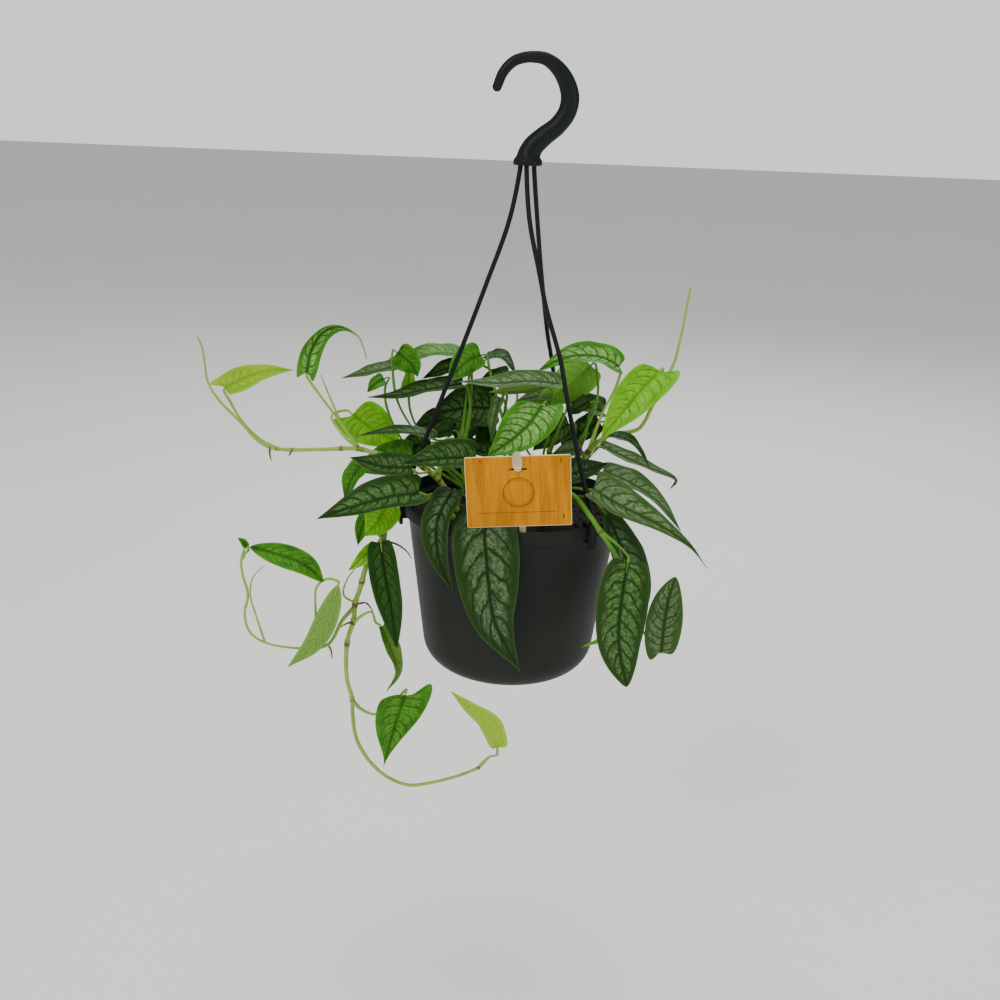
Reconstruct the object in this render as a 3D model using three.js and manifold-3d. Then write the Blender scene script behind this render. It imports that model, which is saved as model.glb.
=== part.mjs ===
// Hanging pot with a climbing aroid: pot, soil, three-strand hanger, label, vines and leaves.
// Millimetres, +Z up. The origin is the inside top of the hook, where the pot hangs.

import * as THREE from 'three';
import { mergeVertices } from 'three/addons/utils/BufferGeometryUtils.js';
import Module from 'manifold-3d';

const wasm = await Module();
wasm.setup();

// Driving dimensions

const fit = 0.35;                  // clearance between pieces that meet

const rimTop = -275.3;             // height of the pot's rim under the hook seat
const rimRadius = 75;              // outside of the rim band
const rimInner = 72.8;
const bandHeight = 8.5;
const neckRadius = 70.5;           // wall just under the band
const baseRadius = 58.6;           // wall just above the bottom corner
const cornerRadius = 21;
const potDepth = 119;
const potSegments = 32;
const wall = 1.6;
const footInner = 29;
const footOuter = 36.5;
const footHeight = 3;
const drainRadius = 4;
const drainCircle = 18;
const drainCount = 5;

const soilDepth = 12.5;            // soil surface below the rim
const soilMound = 2.2;

const strandRadius = 1.5;
const collarRadius = 9;
const collarBottom = -60;
const socketDepth = 4;
const socketFit = 0.8;
const clipWidth = 6.4;
const clipThickness = 2.3;

const cardWidth = 64;
const cardHeight = 46;
const cardThickness = 0.8;
const slotWidth = 12.6;
const slotHeight = 2.2;
const slotBelowTop = 8.6;
const cardCentre = [2.2, -78.5, -247.2];
const cardLean = 5;                // degrees, top forward
const cardTilt = 4.3;              // degrees, right side up
const stakeTilt = 6.5;
const stakeWidth = 4;
const stakeThickness = 1;
const stakeBend = 22;                // below the slot, where the stake turns in to the soil
const stakeBendAngle = 12;
const stakeLength = 40;              // below the bend

const leafThickness = 0.8;
const leafRows = 7;
const leafHalfColumns = 2;
const petioleFoot = 1.2;             // radius where it leaves the stem
const petioleEnd = 0.8;
const petioleSides = 5;

const potBottom = rimTop - potDepth;
const bandBottom = rimTop - bandHeight;
const soilTop = rimTop - soilDepth;
const degrees = Math.PI / 180;

// Materials

const finish = (color, roughness) => new THREE.MeshStandardMaterial({ color, roughness, metalness: 0 });
const blackPlastic = finish('#25282a', 0.4);
const soilMaterial = finish('#2c221b', 0.95);
const cardMaterial = finish('#d09a2a', 0.6);
const stakeMaterial = finish('#e8e6dd', 0.45);
const stemMaterial = finish('#a9bd6b', 0.5);
const leafMaterials = {
  dark: finish('#2f5a2c', 0.4),
  green: finish('#4b8a2b', 0.4),
  young: finish('#8fb83a', 0.4),
  silver: finish('#7d9a7c', 0.45),
  under: finish('#a8bd86', 0.55),
};

// Solids and meshes

const vec = ([x, y, z]) => new THREE.Vector3(x, y, z);

function solidOf(geometry) {
  const bare = geometry.clone();
  bare.deleteAttribute('normal');
  bare.deleteAttribute('uv');
  const merged = mergeVertices(bare, 1e-4);
  return new wasm.Manifold(new wasm.Mesh({
    numProp: 3,
    vertProperties: new Float32Array(merged.attributes.position.array),
    triVerts: new Uint32Array(merged.index.array),
  }));
}

function geometryOf(solid) {
  const mesh = solid.getMesh();
  const geometry = new THREE.BufferGeometry();
  geometry.setAttribute('position', new THREE.BufferAttribute(new Float32Array(mesh.vertProperties), 3));
  geometry.setIndex(new THREE.BufferAttribute(new Uint32Array(mesh.triVerts), 1));
  geometry.computeVertexNormals();
  return geometry;
}

const join = (solids) => solids.reduce((whole, next) => whole.add(next));

const group = new THREE.Group();

function addPiece(name, geometry, material) {
  const mesh = new THREE.Mesh(geometry, material);
  mesh.name = name;
  group.add(mesh);
  return mesh;
}

// A closed tube carried along a curve. sectionAt gives the two half widths at t, 0 to 1.
function sweep(curve, steps, sides, sectionAt) {
  const frames = curve.computeFrenetFrames(steps, false);
  const positions = [];
  const index = [];
  for (let i = 0; i <= steps; i++) {
    const t = i / steps;
    const centre = curve.getPointAt(t);
    const [across, deep] = sectionAt(t);
    for (let j = 0; j < sides; j++) {
      const angle = 2 * Math.PI * j / sides;
      const point = centre.clone()
        .addScaledVector(frames.binormals[i], across * Math.cos(angle))
        .addScaledVector(frames.normals[i], deep * Math.sin(angle));
      positions.push(point.x, point.y, point.z);
    }
  }
  for (let i = 0; i < steps; i++) {
    for (let j = 0; j < sides; j++) {
      const a = i * sides + j;
      const b = i * sides + (j + 1) % sides;
      index.push(a, a + sides, b, b, a + sides, b + sides);
    }
  }
  const last = steps * sides;
  for (let j = 1; j < sides - 1; j++) {
    index.push(0, j, j + 1, last, last + j + 1, last + j);
  }
  const geometry = new THREE.BufferGeometry();
  geometry.setAttribute('position', new THREE.Float32BufferAttribute(positions, 3));
  geometry.setIndex(index);
  return outward(geometry);
}

// Turns every face round when the closed surface encloses a negative volume.
function outward(geometry) {
  const p = geometry.attributes.position;
  const index = geometry.index.array;
  const [a, b, c] = [new THREE.Vector3(), new THREE.Vector3(), new THREE.Vector3()];
  let volume = 0;
  for (let i = 0; i < index.length; i += 3) {
    a.fromBufferAttribute(p, index[i]);
    b.fromBufferAttribute(p, index[i + 1]);
    c.fromBufferAttribute(p, index[i + 2]);
    volume += a.dot(b.cross(c));
  }
  if (volume < 0) {
    for (let i = 0; i < index.length; i += 3) {
      [index[i + 1], index[i + 2]] = [index[i + 2], index[i + 1]];
    }
  }
  return geometry;
}

// A round tube whose radius runs evenly from the first value to the last.
function stem(points, fromRadius, toRadius, sides = petioleSides, stepsPerPoint = 2) {
  const curve = new THREE.CatmullRomCurve3(points.map(vec), false, 'centripetal');
  const steps = Math.max(3, Math.round(stepsPerPoint * (points.length - 1)));
  const radiusAt = (t) => fromRadius + (toRadius - fromRadius) * t;
  return sweep(curve, steps, sides, (t) => [radiusAt(t), radiusAt(t)]);
}

// Lathe about +Z from [radius, height] pairs.
function turned(profile, segments) {
  const geometry = new THREE.LatheGeometry(profile.map(([r, z]) => new THREE.Vector2(r, z)), segments);
  geometry.rotateX(Math.PI / 2);
  return geometry;
}

function arc(centreR, centreZ, radius, fromAngle, toAngle, count) {
  return Array.from({ length: count + 1 }, (_, i) => {
    const angle = (fromAngle + (toAngle - fromAngle) * i / count) * degrees;
    return [centreR + radius * Math.cos(angle), centreZ + radius * Math.sin(angle)];
  });
}

// Pot: a turned shell with a rim band, a round bottom corner, a foot ring and drain holes

function potSolid() {
  const cornerR = baseRadius - cornerRadius;
  const cornerZ = potBottom + cornerRadius;
  const profile = [
    [0, potBottom],
    [footInner, potBottom],
    [footInner, potBottom - footHeight],
    [footOuter, potBottom - footHeight],
    ...arc(cornerR, cornerZ, cornerRadius, -90, -8, 5),
    [neckRadius, bandBottom],
    [rimRadius, bandBottom],
    [rimRadius, rimTop - 0.8],
    [rimRadius - 0.8, rimTop],
    [rimInner, rimTop],
    [rimInner, bandBottom + 1.5],
    [neckRadius - wall, bandBottom - 1],
    ...arc(cornerR, cornerZ, cornerRadius - wall, -8, -90, 5),
    [0, potBottom + wall],
  ];
  let pot = solidOf(turned(profile, potSegments));
  for (let i = 0; i < drainCount; i++) {
    const angle = 360 * i / drainCount * degrees;
    const drill = new THREE.CylinderGeometry(drainRadius, drainRadius, 6, 10);
    drill.rotateX(Math.PI / 2);
    drill.translate(drainCircle * Math.cos(angle), drainCircle * Math.sin(angle), potBottom + wall / 2);
    pot = pot.subtract(solidOf(drill));
  }
  return pot;
}

// Soil: fills the pot below the rim, with a low mound and clods on top

function soilSolid() {
  const cornerR = baseRadius - cornerRadius;
  const cornerZ = potBottom + cornerRadius;
  const gap = wall + fit;
  const edge = neckRadius - gap - 1.4;
  const profile = [
    [0, potBottom + gap],
    ...arc(cornerR, cornerZ, cornerRadius - gap, -90, -8, 5),
    [edge, soilTop],
    [edge * 0.8, soilTop],
    [edge * 0.55, soilTop],
    [edge * 0.3, soilTop],
    [0, soilTop],
  ];
  const geometry = turned(profile, potSegments);
  const p = geometry.attributes.position;
  for (let i = 0; i < p.count; i++) {
    const x = p.getX(i);
    const y = p.getY(i);
    const r = Math.hypot(x, y);
    if (p.getZ(i) > soilTop - 0.01 && r < edge - 1) {
      const clods = 0.7 * Math.sin(0.31 * x + 1.1) * Math.cos(0.27 * y - 0.6);
      p.setZ(i, soilTop + soilMound * (1 - r / edge) + clods);
    }
  }
  return solidOf(geometry);
}

// Hook: a tapering rod bent to a question mark, with a flared collar that holds the strands

const hookLine = [
  [-20.6, 0, -14.5, 2.9], [-17.2, 0, -6, 3.1], [-11.5, 0, 0.2, 3.2], [-5.2, 0, 2.8, 3.3],
  [0.6, 0, 3.5, 3.5],
  [8, 0, 2.7, 3.9], [15.4, 0, -2, 4.6], [21.3, 0, -10, 5.3], [24.1, 0, -19, 5.7], [22.6, 0, -28, 5.7],
  [17, 0, -36, 5.7], [9, 0, -42.6, 6.1], [3, 0, -48.6, 6.6], [0.3, 0, -54.6, 7.2], [0, 0, -59.4, 7.6],
];

// Each strand leaves its socket straight down and ends in the clip at its angle on the rim.
const strands = {
  left: { angle: 195, line: [[-4.3, -1, -56.8], [-4.5, -1, -61.6], [-9.9, -3.5, -93], [-22.9, -7.2, -133],
    [-37.2, -10.8, -174], [-49.6, -13.8, -208], [-59.7, -16.3, -236]] },
  right: { angle: -49, line: [[-0.6, -4.4, -56.8], [-0.6, -4.6, -61.6], [2.5, -12, -92], [9.9, -20, -123],
    [14.8, -25, -143], [25.6, -33.2, -176], [30.7, -38.8, -199], [41.5, -49.8, -242]] },
  back: { angle: 60, line: [[4.1, 1.4, -56.8], [4.2, 1.9, -61.6], [9.3, 14.6, -106], [13, 22.8, -134],
    [18.9, 34.2, -172], [21.9, 40, -186]] },
};

function strandPoints({ angle, line }) {
  const end = rimRadius + 1.3;
  return [...line, [end * Math.cos(angle * degrees), end * Math.sin(angle * degrees), rimTop + 1.8]];
}

function hookSolid() {
  const curve = new THREE.CatmullRomCurve3(hookLine.map(vec), false, 'centripetal');
  const steps = 26;
  const halfWidth = (t) => {
    const along = t * (hookLine.length - 1);
    const i = Math.min(Math.floor(along), hookLine.length - 2);
    return THREE.MathUtils.lerp(hookLine[i][3], hookLine[i + 1][3], along - i);
  };
  const rod = sweep(curve, steps, 10, (t) => [halfWidth(t), 0.86 * halfWidth(t)]);
  const tip = new THREE.SphereGeometry(hookLine[0][3], 10, 6);
  tip.translate(...hookLine[0].slice(0, 3));
  const collar = turned([
    [0, collarBottom], [collarRadius - 0.6, collarBottom], [collarRadius, collarBottom + 0.8],
    [collarRadius, collarBottom + 3], [collarRadius - 1.6, collarBottom + 4.6],
    [collarRadius - 3, collarBottom + 9], [0, collarBottom + 9],
  ], 18);
  let hook = join([rod, tip, collar].map(solidOf));
  const socketRadius = strandRadius + socketFit;
  for (const { line: [, [x, y]] } of Object.values(strands)) {
    const socket = new THREE.CylinderGeometry(socketRadius, socketRadius, 2 * socketDepth, 10);
    socket.rotateX(Math.PI / 2);
    socket.translate(x, y, collarBottom);
    hook = hook.subtract(solidOf(socket));
  }
  return hook;
}

// Strand: a round cord from the collar to a clip that grips the rim band

function strandSolid(strand) {
  const cord = stem(strandPoints(strand), strandRadius, strandRadius, 8, 2);
  const outer = rimRadius + fit + clipThickness;
  const under = bandBottom - fit - clipThickness;
  const shape = new THREE.Shape([
    [rimInner - 2.9, rimTop + fit + clipThickness], [outer, rimTop + fit + clipThickness],
    [outer, under - 4], [rimRadius + fit, under - 4],
    [rimRadius + fit, under], [neckRadius + 1.2, under],
    [neckRadius + 1.2, bandBottom - fit], [rimRadius + fit, bandBottom - fit],
    [rimRadius + fit, rimTop + fit], [rimInner - 0.9, rimTop + fit],
    [rimInner - 0.9, rimTop - 4], [rimInner - 2.9, rimTop - 4],
  ].map(([r, z]) => new THREE.Vector2(r, z)));
  const clip = new THREE.ExtrudeGeometry(shape, { depth: clipWidth, bevelEnabled: false });
  clip.translate(0, 0, -clipWidth / 2);
  clip.rotateX(Math.PI / 2);
  clip.rotateZ(strand.angle * degrees);
  return join([solidOf(cord), solidOf(clip)]);
}

// Label: a slotted card that hangs on the head of a stake; the stake stands in the soil

const slotHeightFromCentre = cardHeight / 2 - slotBelowTop;

function placeLabel(mesh, tilt) {
  mesh.rotation.set(cardLean * degrees, -tilt * degrees, 0, 'XYZ');
}

function box(width, depth, height, x, y, z) {
  const geometry = new THREE.BoxGeometry(width, depth, height);
  geometry.translate(x, y, z);
  return geometry;
}

function cardSolid() {
  const card = box(cardWidth, cardThickness, cardHeight, 0, 0, 0);
  const slot = box(slotWidth, 4 * cardThickness, slotHeight, 0, 0, slotHeightFromCentre);
  return solidOf(card).subtract(solidOf(slot));
}

const stakeBack = cardThickness / 2 + fit + stakeThickness / 2;

function bent(geometry) {
  geometry.rotateX(stakeBendAngle * degrees);
  geometry.translate(0, stakeBack, -stakeBend);
  return geometry;
}

// The stake is drawn about the middle of the slot.
function stakeSolid() {
  const outline = new THREE.Shape([
    [-stakeWidth / 2, 0.4], [-stakeWidth / 2, 8 - stakeLength], [0, -stakeLength],
    [stakeWidth / 2, 8 - stakeLength], [stakeWidth / 2, 0.4],
  ].map(([x, z]) => new THREE.Vector2(x, z)));
  const lower = new THREE.ExtrudeGeometry(outline, { depth: stakeThickness, bevelEnabled: false });
  lower.rotateX(Math.PI / 2);
  lower.translate(0, stakeThickness / 2, 0);
  const upper = box(stakeWidth, stakeThickness, stakeBend + 0.6, 0, stakeBack, (0.6 - stakeBend) / 2);
  const tab = box(stakeWidth, 2 * stakeBack + stakeThickness, 1.2, 0, 0, 0);
  const head = new THREE.CylinderGeometry(1, 1, stakeThickness, 20);
  head.scale(3.2, 1, 6.6);
  head.translate(0, -stakeBack, 5.4);
  return join([bent(lower), upper, tab, head].map(solidOf));
}

// Leaves
// rib: points of the midrib from the petiole to the tip. face: the way the upper side looks.
// width: across both halves. fold and cup: degrees that the halves lift. turn: degrees of twist.
// lobe: how far the base lobes reach back, as a share of the length. skew: how far one lobe lies
// ahead of the other. swell: how slowly the base widens. taper: how thin the tip runs. drip: how
// much narrower its very end is.
// under: how far the petiole comes from below the blade, against from behind it.

const leaves = {
  leaf_far_left: { tone: 'young', width: 17.5, face: [0.1, -0.85, 0.5], lobe: 0.1, skew: 0.12, taper: 1,
    wave: 1.4,
    rib: [[-189.5, -10, -206.3], [-176, -11, -199], [-161, -12, -193.7], [-144, -14, -191.7]] },
  leaf_left_arch: { tone: 'young', width: 14.5, face: [0, -1, 0.05], lobe: 0.1, taper: 1.1, turn: 100,
    rib: [[-135, -20, -192], [-131.5, -20, -176.5], [-123.5, -20, -164.7], [-113, -20, -161.5],
      [-102.5, -20, -167], [-96.5, -20, -182.5]] },
  leaf_left_heart: { tone: 'young', width: 33, face: [0, -0.9, 0.45], lobe: 0.12, skew: -0.14, under: 0.3,
    rib: [[-111, 24, -229], [-97, 21, -238], [-77, 17, -247]] },
  leaf_left_dark: { tone: 'dark', width: 17, face: [0, -0.15, 1],
    rib: [[-53, -4, -236], [-69, -5, -233], [-87, -8, -232.5], [-104, -11, -234.5]] },
  leaf_left_low: { tone: 'dark', width: 23, face: [-0.2, -0.5, 0.85],
    rib: [[-66, -32, -249], [-86, -34, -248], [-106, -33, -243]] },
  leaf_left_hanging: { tone: 'green', width: 15, face: [-0.5, -0.8, 0.2],
    rib: [[-99, -18, -251], [-106, -20, -261], [-111, -20, -277]] },
  leaf_left_rim: { tone: 'dark', width: 29, face: [-0.15, -0.6, 0.8], fold: 14, lobe: 0.09,
    rib: [[-59.5, -56, -258], [-80, -62, -260], [-101, -66, -266], [-122, -68, -273.5]] },
  leaf_front_left: { tone: 'silver', width: 26, face: [0, -0.6, 0.8], fold: 20,
    rib: [[-25, -44, -237], [-47, -50, -237], [-71, -54, -240]] },
  leaf_top_left: { tone: 'dark', width: 29, face: [0.05, -0.1, 1], lobe: 0.04, fold: 4,
    rib: [[-39, 23, -185], [-56, 22, -184.5], [-71, 18, -187], [-86, 13, -187]] },
  leaf_top_left_tip: { tone: 'silver', width: 16, face: [0, -0.3, 0.95],
    rib: [[-80, 22, -194], [-97, 18, -198], [-117.5, 14, -202]] },
  leaf_top_left_long: { tone: 'dark', width: 20, face: [0, -0.3, 0.95],
    rib: [[-37, 14, -203], [-61, 10, -207], [-80, 6, -211], [-99, 4, -212]] },
  leaf_top_bright: { tone: 'green', width: 21, face: [0.2, -0.7, 0.6],
    rib: [[-25, 10, -182], [-33, 9, -186], [-47, 7, -200]] },
  leaf_top_dark: { tone: 'dark', width: 21, face: [0.2, -0.1, 1],
    rib: [[-22, 30, -188], [-12, 28, -187], [-1, 25, -197]] },
  leaf_top_long: { tone: 'silver', width: 21, face: [0, -0.35, 0.93], lobe: 0.08,
    rib: [[26, -20, -193], [7, -25, -191], [-15, -28, -192.5], [-38, -30, -191.5]] },
  leaf_top_under: { tone: 'under', width: 18, face: [0, 0.7, 0.6],
    rib: [[18, 2, -199], [-2, 0, -203], [-19, -2, -204]] },
  leaf_centre_narrow: { tone: 'silver', width: 14, face: [-0.8, -0.5, 0.2],
    rib: [[-11, -20, -203], [-14, -24, -217], [-16, -28, -231]] },
  leaf_centre_front: { tone: 'silver', width: 32, face: [-0.1, -0.9, 0.4], lobe: 0.08, skew: 0.14,
    rib: [[15, -46, -201], [7, -49, -213], [-5, -52, -224], [-18, -54, -233]] },
  leaf_top_right: { tone: 'green', width: 23, face: [0, -0.5, 0.85], lobe: 0.07,
    rib: [[65, -4, -183.5], [53, -6, -177.5], [32, -8, -177.5], [11, -4, -189]] },
  leaf_right_under: { tone: 'young', width: 28, face: [0.3, 0.8, 0.2],
    rib: [[48, 20, -188], [36, 18, -200], [23, 16, -209], [10, 14, -214]] },
  leaf_right_dark: { tone: 'dark', width: 26, face: [0.2, -0.4, 0.9],
    rib: [[59, 26, -221], [47, 26, -218], [32, 28, -215]] },
  leaf_right_bright: { tone: 'young', width: 28, face: [0.1, -0.85, 0.5], lobe: 0.08, skew: 0.12,
    rib: [[88.5, -24, -181], [78, -28, -192], [66, -32, -207], [53, -36, -224]] },
  leaf_right_thin: { tone: 'dark', width: 13, face: [0.2, -0.2, 0.95],
    rib: [[58, -24, -224], [72, -25, -227], [80, -26, -234], [87, -27, -245]] },
  leaf_right_back: { tone: 'silver', width: 15, face: [0.2, -0.3, 0.93],
    rib: [[58, 12, -241], [74, 10, -248], [92, 8, -254.5], [109, 6, -261.5], [105, 6, -268]] },
  leaf_right_silver: { tone: 'silver', width: 24, face: [0.4, -0.3, 0.85],
    rib: [[57, -22, -249], [74, -26, -254.5], [93, -29, -266], [110, -31, -285]] },
  leaf_right_long: { tone: 'dark', width: 29, face: [0.2, -0.65, 0.73], fold: 20, taper: 1.7, drip: 0.3,
    rib: [[49, -50, -253], [68, -55, -262], [93, -58, -273], [112, -60, -285], [124, -61, -299]] },
  leaf_right_hanging: { tone: 'silver', width: 26, face: [0.5, -0.8, 0.3],
    swell: 0.85, taper: 0.7,
    rib: [[59.5, -49, -269.5], [69.5, -47, -291], [82.5, -43, -321], [87.5, -40, -347]] },
  leaf_front_right: { tone: 'silver', width: 34, face: [0.05, -0.98, 0.15], lobe: 0.06,
    taper: 0.62, drip: 0.3,
    rib: [[72, -74, -292], [69.5, -78, -310], [69, -80, -342], [76.5, -78, -375]] },
  leaf_right_round: { tone: 'silver', width: 25, face: [-0.15, -0.95, 0.25], lobe: 0.1, skew: 0.06,
    swell: 0.55, taper: 0.6, drip: 0.3, under: 3,
    rib: [[100, -54, -360.5], [100.5, -52, -345], [102.5, -48, -327], [106.5, -45, -311]] },
  leaf_front_drape: { tone: 'silver', width: 41, face: [0, -0.7, 0.7], lobe: 0.02, swell: 0.5,
    taper: 0.75, fold: 1, cup: 2, drip: 0.75,
    rib: [[-15, -52, -264.5], [-17, -64, -269.5], [-17.5, -75.6, -274], [-17, -80.6, -280.5],
      [-16, -83, -287], [-14, -86.5, -304], [-9, -87.5, -330], [8, -86, -363]] },
  leaf_front_side: { tone: 'dark', width: 21, face: [-0.3, -0.8, 0.5], lobe: 0.03,
    rib: [[-38, -52, -256], [-43, -64, -262], [-47, -73, -272], [-45.5, -78, -290], [-36, -79, -314]] },
  leaf_trail_dark: { tone: 'dark', width: 21, face: [-0.1, -0.98, 0.15], taper: 0.7,
    rib: [[-84.5, -44, -296], [-81.5, -46, -315], [-77, -48, -338], [-72.5, -49, -368]] },
  leaf_trail_thin: { tone: 'under', width: 14, face: [0.8, -0.5, 0.1],
    rib: [[-84, -36, -358], [-78, -38, -372], [-73, -39, -389], [-80, -40, -404]] },
  leaf_trail_far: { tone: 'green', width: 17, face: [0.2, -0.85, 0.5], lobe: 0, swell: 1, taper: 0.6,
    rib: [[-168, -48, -301], [-146, -50, -306], [-131, -52, -311], [-120, -54, -321]] },
  leaf_trail_under: { tone: 'under', width: 16, face: [0.2, 0.9, 0.3], lobe: 0, swell: 1,
    rib: [[-111, -50, -324], [-117, -52, -343], [-127, -53, -365], [-144, -54, -382]] },
  leaf_trail_heart: { tone: 'green', width: 35, face: [0.1, -0.95, 0.2], lobe: 0.14, skew: 0.2,
    taper: 1.5, fold: 16,
    rib: [[-67, -46, -403], [-73.5, -50, -425], [-80.5, -52, -455]] },
  leaf_trail_tip: { tone: 'under', width: 18, face: [0.3, 0.9, 0.1],
    rib: [[-4, -50, -437], [-10, -50, -422], [-22.5, -50, -410], [-36.5, -50, -396.5]] },
  leaf_trail_top: { tone: 'young', width: 24, face: [0, -0.9, 0.3],
    rib: [[-80, -40, -270], [-87, -42, -283], [-95, -42, -293]] },
  leaf_inner_left: { tone: 'dark', width: 22, face: [0, -0.3, 0.95],
    rib: [[-15, 27, -254], [-34, 29, -251], [-54, 30, -246]] },
  leaf_inner_back: { tone: 'dark', width: 36, face: [0, -0.75, 0.65],
    rib: [[-14, 36, -224], [-35, 33, -224], [-60, 29, -229]] },
  leaf_inner_low: { tone: 'dark', width: 36, face: [-0.3, -0.8, 0.4],
    rib: [[-27, 52, -221], [-34, 48, -236], [-38, 43, -255]] },
  leaf_inner_right: { tone: 'silver', width: 21, face: [-0.2, -0.6, 0.75],
    rib: [[31, -30, -251], [44, -28, -247.5], [60, -25, -242.5]] },
  leaf_back_drape: { tone: 'dark', width: 33, face: [-0.3, 0.8, 0.5],
    rib: [[-26, 56, -256], [-38, 76, -266], [-44, 86, -288], [-46, 88, -314]] },
  leaf_back_right: { tone: 'silver', width: 26, face: [0.2, 0.4, 0.9],
    rib: [[8, 48, -240], [18, 68, -244], [26, 90, -262]] },
};

const leafDefaults = {
  fold: 10, cup: 10, wave: 0.7, turn: 0, lobe: 0.06, swell: 0.45, taper: 0.85, drip: 0.5, skew: 0,
  under: 1.2,
};

// Half width grows as t^swell and thins out as (1 - t)^taper; its largest value is 1. A drip tip
// is narrower still by drip * t^7.
function halfWidthAt(t, { swell, taper, drip }) {
  const shape = (x) => x ** swell * (1 - x) ** taper;
  return (shape(t) / shape(swell / (swell + taper))) * (1 - drip * t ** 7);
}

function leafFrame(leaf) {
  const curve = new THREE.CatmullRomCurve3(leaf.rib.map(vec), false, 'centripetal');
  const length = curve.getLength();
  const face = vec(leaf.face).normalize();
  const frameAt = (share) => {
    const s = THREE.MathUtils.clamp(share, 0, 1);
    const along = curve.getTangentAt(s);
    const side = along.clone().cross(face).normalize();
    side.applyAxisAngle(along, leaf.turn * degrees * s);
    const normal = side.clone().cross(along).normalize();
    const centre = curve.getPointAt(s).addScaledVector(along, Math.min(share, 0) * length);
    return { along, side, normal, centre };
  };
  return { length, frameAt };
}

// Station t runs from the base to the tip, s from -1 to 1 across. Margin stations start behind
// the base, so that the lobes close round the petiole. Each half lifts by fold, and more at the margin.
function leafPoint(leaf, frameAt, t, s) {
  const back = leaf.lobe * (t / 0.12) * Math.exp(1 - t / 0.12);
  const margin = t ** 1.3 - back + leaf.skew * s * (1 - t);
  const across = Math.abs(s) * halfWidthAt(t, leaf);
  const share = THREE.MathUtils.lerp(t ** 1.15, margin, Math.abs(s));
  const { side, normal, centre } = frameAt(share);
  const lift = (leaf.fold + leaf.cup * across) * degrees;
  const reach = across * leaf.width / 2;
  const ripple = leaf.wave * across ** 2 * Math.sin(13 * t + (s < 0 ? 1.7 : 0));
  const sign = Math.sign(s);
  const point = centre
    .addScaledVector(side, sign * reach * Math.cos(lift))
    .addScaledVector(normal, reach * Math.sin(lift) + ripple);
  const up = normal.clone().multiplyScalar(Math.cos(lift)).addScaledVector(side, -sign * Math.sin(lift));
  return { point, up };
}

function leafGeometry(leaf) {
  const { frameAt } = leafFrame(leaf);
  const columns = 2 * leafHalfColumns;
  const positions = [];
  const faces = [[], []];
  const rows = [];
  for (let i = 0; i <= leafRows; i++) {
    const t = (i / leafRows) ** 1.25;
    const pole = i === 0 || i === leafRows;
    const row = [];
    for (let j = 0; j <= (pole ? 0 : columns); j++) {
      const s = pole ? 0 : j / leafHalfColumns - 1;
      const { point, up } = leafPoint(leaf, frameAt, t, s);
      for (const offset of [leafThickness / 2, -leafThickness / 2]) {
        const skin = point.clone().addScaledVector(up, offset);
        positions.push(skin.x, skin.y, skin.z);
      }
      row.push(positions.length / 3 - 2);
    }
    rows.push(row);
  }
  const put = (a, b, c) => {
    faces[0].push(a, b, c);
    faces[1].push(a + 1, c + 1, b + 1);
  };
  for (let i = 0; i < leafRows; i++) {
    const [near, far] = [rows[i], rows[i + 1]];
    for (let j = 0; j < columns; j++) {
      if (near.length === 1) {
        put(near[0], far[j + 1], far[j]);
      } else if (far.length === 1) {
        put(near[j], near[j + 1], far[0]);
      } else {
        put(near[j], near[j + 1], far[j]);
        put(near[j + 1], far[j + 1], far[j]);
      }
    }
  }
  const edge = [
    ...rows.map((row) => row[0]),
    ...rows.slice(1, -1).reverse().map((row) => row[columns]),
  ];
  const walls = edge.flatMap((a, k) => {
    const b = edge[(k + 1) % edge.length];
    return [a, b, a + 1, b, b + 1, a + 1];
  });
  const geometry = new THREE.BufferGeometry();
  geometry.setAttribute('position', new THREE.Float32BufferAttribute(positions, 3));
  geometry.setIndex([...faces[0], ...faces[1], ...walls]);
  return outward(geometry);
}

// A petiole meets its leaf from behind and below, and stops just short of it.
function leafSeat(name) {
  const leaf = { ...leafDefaults, ...leaves[name] };
  const { along, normal } = leafFrame(leaf).frameAt(0);
  const back = along.clone().negate().addScaledVector(normal, -leaf.under).normalize();
  const base = vec(leaf.rib[0]);
  return [5, 0.85].map((distance) => base.clone().addScaledVector(back, distance).toArray());
}

// Vines and stems
// line: the main stem from the soil. petioles: way points from the stem to each leaf.
// roots: aerial roots. buds: small leaves that are still one with the stem.

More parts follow.
